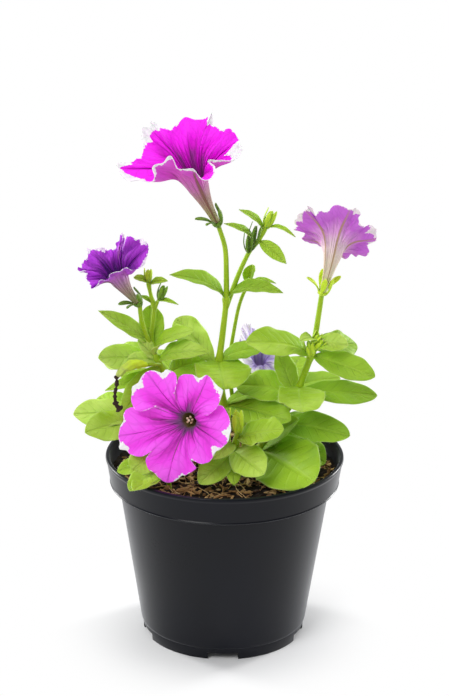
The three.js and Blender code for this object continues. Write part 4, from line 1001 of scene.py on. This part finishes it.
def blade(build, base, tip, width, outline, arch, roll, cup, tone, rows, columns, hair,
          veins=0, wave=0.0, phase=0.0, up=(0, 0, 1), kind=LEAF, thickness=BLADE):
    """A leaf from base to tip: bowed, rolled, cupped and rippled as asked, and puckered by its veins."""
    chord = tip - base
    reach = np.linalg.norm(chord)
    ahead = chord / reach
    normal = turned(unit(up - ahead * np.dot(ahead, up)), ahead, math.radians(roll))
    side = np.cross(ahead, normal)

    def middle(u):
        return base + np.outer(u, chord) + np.outer(reach * arch * np.sin(np.pi * u ** 0.75), normal)

    u = 1 - (1 - np.linspace(0, 1, rows + 1)) ** CROWDING
    v = np.linspace(-1, 1, columns + 1)
    half = half_width(u, width, outline) * (1 + 0.015 * np.sin(19 * u + phase) * (u > 0.15))
    forward = unit(middle(np.minimum(u + 1e-3, 1)) - middle(np.maximum(u - 1e-3, 0)))
    lift = np.cross(side, forward)
    down = u[:, None]
    size = np.abs(v)
    # Heights over the chord, as shares of half the width.
    height = cup * size ** 1.3 + wave * v ** 2 * np.sin(3 * math.pi * down + phase + np.where(v > 0, 2.2, 0))
    if veins:
        cell = np.cos(2 * math.pi * veins * (down - 0.2 * size))
        height = height + 0.035 * np.sin(math.pi * size) * (0.5 - 0.5 * cell)
        height = height - 0.045 * np.exp(-(size / 0.16) ** 2)
        height = height + 0.05 * size ** 3 * np.sin(7 * math.pi * down + 2 * phase + 3 * v)
    rise = half[:, None] * height
    surface = middle(u)[:, None] + side * np.outer(half, v)[..., None] + lift[:, None] * rise[..., None]
    marks = marks_like(surface, down, v, tone + 0.12 * down - 0.06 * size)
    face = build.shell(surface, marks, thickness * (1 - 0.5 * size ** 3) * np.ones_like(rise), kind=kind)
    out = np.repeat([-side, side], rows + 1, axis=0) + 0.3 * forward.repeat(2, axis=0)
    build.root(np.concatenate([surface[:, 0], surface[:, -1]]), unit(out), hair)
    build.root(surface, face, hair * 0.35)


def cup_of(name):
    """The way a bloom's tube starts out, and the top and the foot of the cup under it."""
    base, throat, axis = (BLOOMS[name][key] for key in ("base", "throat", "axis"))
    ahead = unit(throat - axis * np.linalg.norm(throat - base) / 2 - base)
    top = base - ahead * SEAT
    return ahead, top, top - ahead * CUP_DEPTH


def sepal_ways(ahead, first, spreads):
    """For each sepal round ahead, the way out at its foot and the way it runs."""
    out = unit(np.cross(ahead, [1, 0, 0]))
    for k, spread in enumerate(spreads):
        spoke = turned(out, ahead, math.radians(360 / len(spreads) * k + first))
        lean = math.radians(spread)
        yield spoke, ahead * math.cos(lean) + spoke * math.sin(lean)


def add_bud(build, foot, tip, radius, tone):
    """A closed bud and the narrow sepals that hug it, their tips standing a little apart."""
    build.lump(foot, tip, radius, pleats=5, tone=tone, kind=SEPAL_SKIN, hair=1.2)
    length = np.linalg.norm(tip - foot)
    ahead = unit(tip - foot)
    for k, (spoke, way) in enumerate(sepal_ways(ahead, 10, [7] * 5)):
        root = foot + spoke * radius * 0.55
        blade(build, root, root + way * length * (0.9 + 0.2 * (k % 2)), radius * 1.15, "spoon", -0.1, 0, 0.35,
              tone, rows=12, columns=6, hair=0.9, up=ahead, kind=SEPAL_SKIN, thickness=0.4)


def add_calyx(build, name, length, spreads, curl, tone):
    """The cup under a bloom and its sepals."""
    ahead, top, foot = cup_of(name)
    for spread, (spoke, way) in zip(spreads, sepal_ways(ahead, 20, spreads)):
        root = top - ahead * 2.2 + spoke * 2.4
        arch = -curl if spread < OPEN_SEPAL else curl * 1.6
        blade(build, root, root + way * (length + 1), SEPAL, "spoon", arch, 0, 0.25,
              tone, rows=16, columns=6, hair=1.0, up=ahead, kind=SEPAL_SKIN, thickness=SEPAL_DEPTH)
    across = unit(np.cross(ahead, [1, 0, 0]))
    ring = spokes_of(angles_of(20), across, np.cross(ahead, across))
    heights = np.linspace(0, CUP_DEPTH, len(CUP_SHARES))
    rings = np.array([foot + ahead * h + ring * CUP_RADIUS * s for h, s in zip(heights, CUP_SHARES)])
    build.solid(rings, marks_like(rings, tone=tone + 0.1), (foot, top), SEPAL_SKIN)
    build.root(rings, np.tile(ring, (len(rings), 1)), 1.0)


for name, (stem, *_) in CALYCES.items():
    ahead, top, foot = cup_of(name)
    STEMS[stem][3].append(tuple(foot + ahead * CUP_DEPTH / 3))
ROUTES = {name: Route(row[3]) for name, row in STEMS.items()}
SHOOTS = {row[0]: Build() for row in STEMS.values()}

leaf_bases = {name: [] for name in STEMS}


def add_leaf(phase, stem, height, heading, rise, length, width, arch, roll, cup, young, outline="ovate"):
    node = ROUTES[stem].at_height(height)
    leaf_bases[stem].append(node)
    base = node + direction(heading, 0) * STEMS[stem][2] * 0.7
    tip = base + direction(heading, rise) * length
    wide = width >= WIDE_LEAF
    long = length > LONG_LEAF
    blade(SHOOTS[STEMS[stem][0]], base, tip, width, outline, arch, roll, cup, young,
          rows=34 if long else 24, columns=18 if wide else 12, hair=1.0,
          veins=8 if long else 6, wave=0.12 if wide else 0.0, phase=phase)


for phase, row in enumerate((stem, *row) for stem, rows in LEAVES for row in rows):
    add_leaf(phase, *row)
for name, (shoot, foot_radius, tip_radius, _) in STEMS.items():
    SHOOTS[shoot].tube(ROUTES[name], foot_radius, tip_radius, sides=12, tone=0.5, kind=STEM,
                       swellings=leaf_bases[name], hair=1.3)
for shoot, foot, tip, radius, tone in BUDS:
    add_bud(SHOOTS[shoot], np.array(foot, float), np.array(tip, float), radius, tone)
for name, (stem, *row) in CALYCES.items():
    add_calyx(SHOOTS[STEMS[stem][0]], name, *row)

HAIR_WIDTH = 0.045
HAIR_LENGTH = (0.6, 1.3)
HAIR_SHARE = 0.5  # how many of the possible roots bear a hair
SPIKE = ((0, 1, 3), (1, 2, 3), (2, 0, 3), (0, 2, 1))  # the faces of a hair, its tip last


def make_hairs(name, roots, seed):
    """Short spikes on the roots that a build has gathered."""
    draw = np.random.default_rng(seed)
    build = Build()
    for places, ways, density in roots:
        chosen = draw.random(len(places)) < HAIR_SHARE * density
        spot = places[chosen]
        way = unit(ways[chosen] + draw.normal(0, 0.35, (len(spot), 3)))
        reach = draw.uniform(*HAIR_LENGTH, len(spot))[:, None]
        spot = spot + draw.normal(0, 0.18, spot.shape)
        side = unit(np.cross(way, [0.31, 0.57, 0.76]))
        other = np.cross(way, side)
        sunk = spot - way * 0.25
        corners = [sunk + HAIR_WIDTH * (side * math.cos(a) + other * math.sin(a)) for a in (0, 2.094, 4.189)]
        points = np.stack([*corners, spot + way * reach], 1)
        index = np.arange(len(spot))[:, None] * 4
        build.add(points, marks_like(points), np.vstack([index + np.array([a]) for a in SPIKE]))
    make_piece(name, build, [HAIR])


for seed, (shoot, build) in enumerate(SHOOTS.items()):
    make_piece(f"{shoot}_leaves", build, GREENS, [shoot])
    make_hairs(f"{shoot}_hairs", build.hairs, seed)

# ---- the withered bloom

SPENT_TUBE = [(-48.75, -14, 182.75), (-53, -19.5, 185.2), (-58, -24, 186), (-62.5, -26, 184), (-66, -27, 180)]
SPENT_STRING = [(-64.5, -27, 157.9), (-67, -27.5, 161.9), (-67.5, -28, 168.9), (-66.5, -27.5, 173.9),
                (-66.5, -27.2, 180.2)]
WITHERED = simple_material("withered", (0.2, 0.6, 0.82, 0.96, 1.0), "e0fa24 d0ec38 b8cc60 948868 5e5044",
                           300, 0.7, 0.0006, by="along")
DEAD = simple_material("dead", (0.2, 0.6, 0.9), "1f1410 3b2720 5a3f33", 500, 0.8, 0.001)

build = Build()
build.tube(Route(SPENT_TUBE), 1.3, 1.5, sides=20, step=0.6, tone=0.3, bulge=1.0)
make_piece("spent_tube_petals", build, [WITHERED], ["spent_tube"])
build = Build()
build.tube(Route(SPENT_STRING), 2.0, 1.2, sides=12, step=0.4, tone=0.4, bulge=-0.4)
make_piece("spent_string_petals", build, [DEAD], ["spent_string"])

# ---- the pot

HEIGHT = 119
RIM = 75  # radius of the rim
COLLAR_BOTTOM = 71.85  # radius of the collar at its lower edge
BODY_TOP = 66.75
BODY_BOTTOM = 52.2
FOOT = 51.2
FOOT_WIDTH = 2.6
FOOT_HEIGHT = 8.1
FLOOR = 5.5
WALL = 1.5
COLLAR = 17.5  # height of the collar
LEDGE = HEIGHT - COLLAR
NOTCHES = 5
NOTCH_ARC = 19
NOTCH_HEIGHT = 4.5
DRAIN = 4.5
POT_SIDES = 180

# The wall's section from the middle of the underside out, up and in again: a radius and a height, and the
# points of the rounded corner there, as steps out and up from them.
SECTION = [
    (0, FLOOR, [(0.01, 0)]),
    (FOOT - FOOT_WIDTH, FLOOR, [(-1, 0), (-0.2, -0.3), (0, -1)]),
    (FOOT - FOOT_WIDTH, 0, [(0, 0.6), (0.3, 0.1), (0.8, 0)]),
    (FOOT, 0, [(-0.8, 0), (-0.3, 0.1), (0, 0.6)]),
    (FOOT, FOOT_HEIGHT, [(0.45, -0.8), (0.9, -0.4)]),
    (BODY_BOTTOM, FOOT_HEIGHT, [(0.1, -0.1), (0.35, 0.4), (0.6, 1.5)]),
    (BODY_TOP, LEDGE, [(-0.2, -2), (0, -1.2), (0.5, -0.7)]),
    (COLLAR_BOTTOM, LEDGE, [(-0.7, -0.65), (-0.1, -0.45), (0.5, 0), (0.6, 0.4), (0.25, 1)]),
    (RIM, HEIGHT, [(-0.75, -3.4), (-0.6, -2.7), (-0.2, -2.2), (0, -1.5)]),
    (RIM, HEIGHT, [(-0.05, -0.8), (-0.4, -0.2), (-1, 0)]),
    (RIM - WALL, HEIGHT, [(-0.5, 0), (-1.1, -0.5), (-1.3, -2)]),
    (COLLAR_BOTTOM - WALL, LEDGE + WALL, [(0, 0.5), (-0.5, 0)]),
    (BODY_TOP - WALL, LEDGE + WALL, [(0.4, 0), (0, -0.5)]),
    (BODY_BOTTOM - WALL, FLOOR + WALL, [(0, 0)]),
    (0, FLOOR + WALL, [(0.01, 0)]),
]


def rings_of(section, sides):
    """Rings of points round Z from pairs of a radius and a height."""
    return np.array([spokes_of(angles_of(sides)) * radius + [0, 0, height] for radius, height in section])


def notch_cutters():
    """Boxes across the foot and round holes through the floor, as one mesh."""
    work = bmesh.new()
    for k in range(NOTCHES):
        spin = Matrix.Rotation(math.radians(-90 + 360 / NOTCHES * k), 4, "Z")
        size = Matrix.Diagonal((FOOT_WIDTH * 4 * MM, NOTCH_ARC * MM, NOTCH_HEIGHT * 2 * MM, 1))
        bmesh.ops.create_cube(work, size=1, matrix=spin @ Matrix.Translation((FOOT * MM, 0, 0)) @ size)
        hole = spin @ Matrix.Translation((FOOT * 0.7 * MM, 0, FLOOR * MM))
        bmesh.ops.create_cone(work, cap_ends=True, segments=28, radius1=DRAIN * MM, radius2=DRAIN * MM,
                              depth=4 * WALL * MM, matrix=hole)
    mesh = bpy.data.meshes.new("notches")
    work.to_mesh(mesh)
    work.free()
    return mesh


def make_pot():
    build = Build()
    section = [(radius + out, height + up) for radius, height, corner in SECTION for out, up in corner]
    rings = rings_of(section, POT_SIDES)
    build.solid(rings, marks_like(rings))
    nub = np.array([0.6, 1.15 - RIM, HEIGHT - COLLAR / 2 + 3.5])
    build.lump(nub + np.array([0, 0.7, 0]), nub - np.array([0, 0.9, 0]), 0.9, sides=12, rows=6)
    piece = make_piece("pot_wall", build, [pot_material()], ["pot"])
    cutter = add_object("notches", notch_cutters())
    carve = piece.modifiers.new("notches", "BOOLEAN")
    carve.operation = "DIFFERENCE"
    carve.solver = "EXACT"
    carve.object = cutter
    mesh = bpy.data.meshes.new_from_object(piece.evaluated_get(bpy.context.evaluated_depsgraph_get()))
    piece.modifiers.clear()
    piece.data = mesh
    bpy.data.objects.remove(cutter)
    shade_smooth(mesh, 38)


make_pot()

# ---- potting mix

SOIL_TOP = 108.5
SOIL_DOME = 2.5
SOIL_RELIEF = 1.6
SOIL_EDGE = 71.0
SOIL_GAP = 0.6  # between the mix and the pot
SOIL_SIDES = 200
SOIL_RINGS = 70
CHIPS = 900
CHIP_ROWS = 5
CHIP_SIDES = 6
FIBRES = 160


def soil_height(x, y):
    share = np.minimum(np.hypot(x, y) / BODY_TOP, 1)
    lumps = (np.sin(x * 0.31 + 1.3 * np.sin(y * 0.23)) * np.cos(y * 0.37 + x * 0.11)
             + 0.6 * np.sin(x * 0.83 + 2.1) * np.sin(y * 0.71 + 0.4))
    return SOIL_TOP + SOIL_DOME * (1 - share ** 2) + SOIL_RELIEF * 0.6 * lumps


def soil_spot(draw, margin):
    """A random place on the mix, away from its edge by a margin."""
    radius = (SOIL_EDGE - margin) * math.sqrt(draw.random())
    heading = draw.uniform(0, 2 * math.pi)
    return np.array([radius * math.cos(heading), radius * math.sin(heading), 0.0])


def add_ground(build):
    """The lumpy top of the mix and its walls down to the pot's floor."""
    top = rings_of([(radius, 0) for radius in np.linspace(0.02, 1, SOIL_RINGS) * SOIL_EDGE], SOIL_SIDES)
    x = top[..., 0]
    y = top[..., 1]
    crumbs = (0.5 * np.sin(1.9 * x + 1.1 * np.sin(2.3 * y)) * np.cos(2.1 * y + 0.7 * x)
              + 0.35 * np.sin(3.7 * x + 2.9 * y) * np.sin(4.3 * y - 2.2 * x))
    top[..., 2] = soil_height(x, y) + crumbs - 0.9
    ledge = LEDGE + WALL + SOIL_GAP
    gap = WALL + SOIL_GAP
    walls = [(COLLAR_BOTTOM - gap, ledge), (BODY_TOP - gap, ledge), (BODY_BOTTOM - gap, FLOOR + WALL + 0.4)]
    rings = np.concatenate([top, rings_of(walls, SOIL_SIDES)])
    build.solid(rings, marks_like(rings, tone=0.1))


def add_chip(build, draw):
    """A splinter of bark, its ends tapered and its sides uneven."""
    length = draw.uniform(2.5, 9.0)
    width = draw.uniform(1.0, 3.0)
    deep = draw.uniform(0.5, 1.3)
    spot = soil_spot(draw, length / 2 + 1)
    spot[2] = soil_height(spot[0], spot[1]) + draw.uniform(-0.9, 1.0)
    way = direction(draw.uniform(0, 360), draw.normal(0, 13))
    side = unit(np.cross(way, [draw.normal(0, 0.35), draw.normal(0, 0.35), 1]))
    rows = np.linspace(-0.5, 0.5, CHIP_ROWS)
    taper = 1 - 0.5 * (2 * np.abs(rows)) ** 3
    jitter = draw.uniform(0.75, 1.2, (CHIP_ROWS, CHIP_SIDES))
    section = spokes_of(angles_of(CHIP_SIDES), side * width / 2, np.cross(side, way) * deep / 2)
    rings = spot + np.outer(rows * length, way)[:, None] + (taper[:, None] * jitter)[..., None] * section
    build.solid(rings, marks_like(rings, tone=draw.random() ** 1.5), kind=1)


def add_fibre(build, draw):
    """A thin bent root fibre that lies on the mix."""
    spot = soil_spot(draw, 9)
    way = direction(draw.uniform(0, 360), draw.normal(0, 8))
    bend = direction(draw.uniform(0, 360), draw.normal(0, 20))
    reach = draw.uniform(3, 8)
    path = []
    for share in (-1, -0.3, 0.4, 1):
        point = spot + way * reach * share + bend * 1.5 * share ** 2
        point[2] = soil_height(point[0], point[1]) + 0.6 + draw.uniform(-0.3, 0.7)
        path.append(point)
    build.tube(Route(path), 0.28, 0.16, sides=5, step=1.4, tone=draw.uniform(0.5, 1), kind=1)


build = Build()
draw = np.random.default_rng(31)
add_ground(build)
for _ in range(CHIPS):
    add_chip(build, draw)
for _ in range(FIBRES):
    add_fibre(build, draw)
GROUND = simple_material("soil", (0.1, 0.4, 0.7), "0f0805 24150c 402a18", 420, 0.92, 0.002)
BARK = simple_material("bark", (0.1, 0.35, 0.6, 0.85, 1.0), "2a190e 644428 a0784a cca872 e6cc9e",
                       500, 0.85, 0.0012)
make_piece("potting_mix_chips", build, [GROUND, BARK], ["potting_mix"], sharp=50)
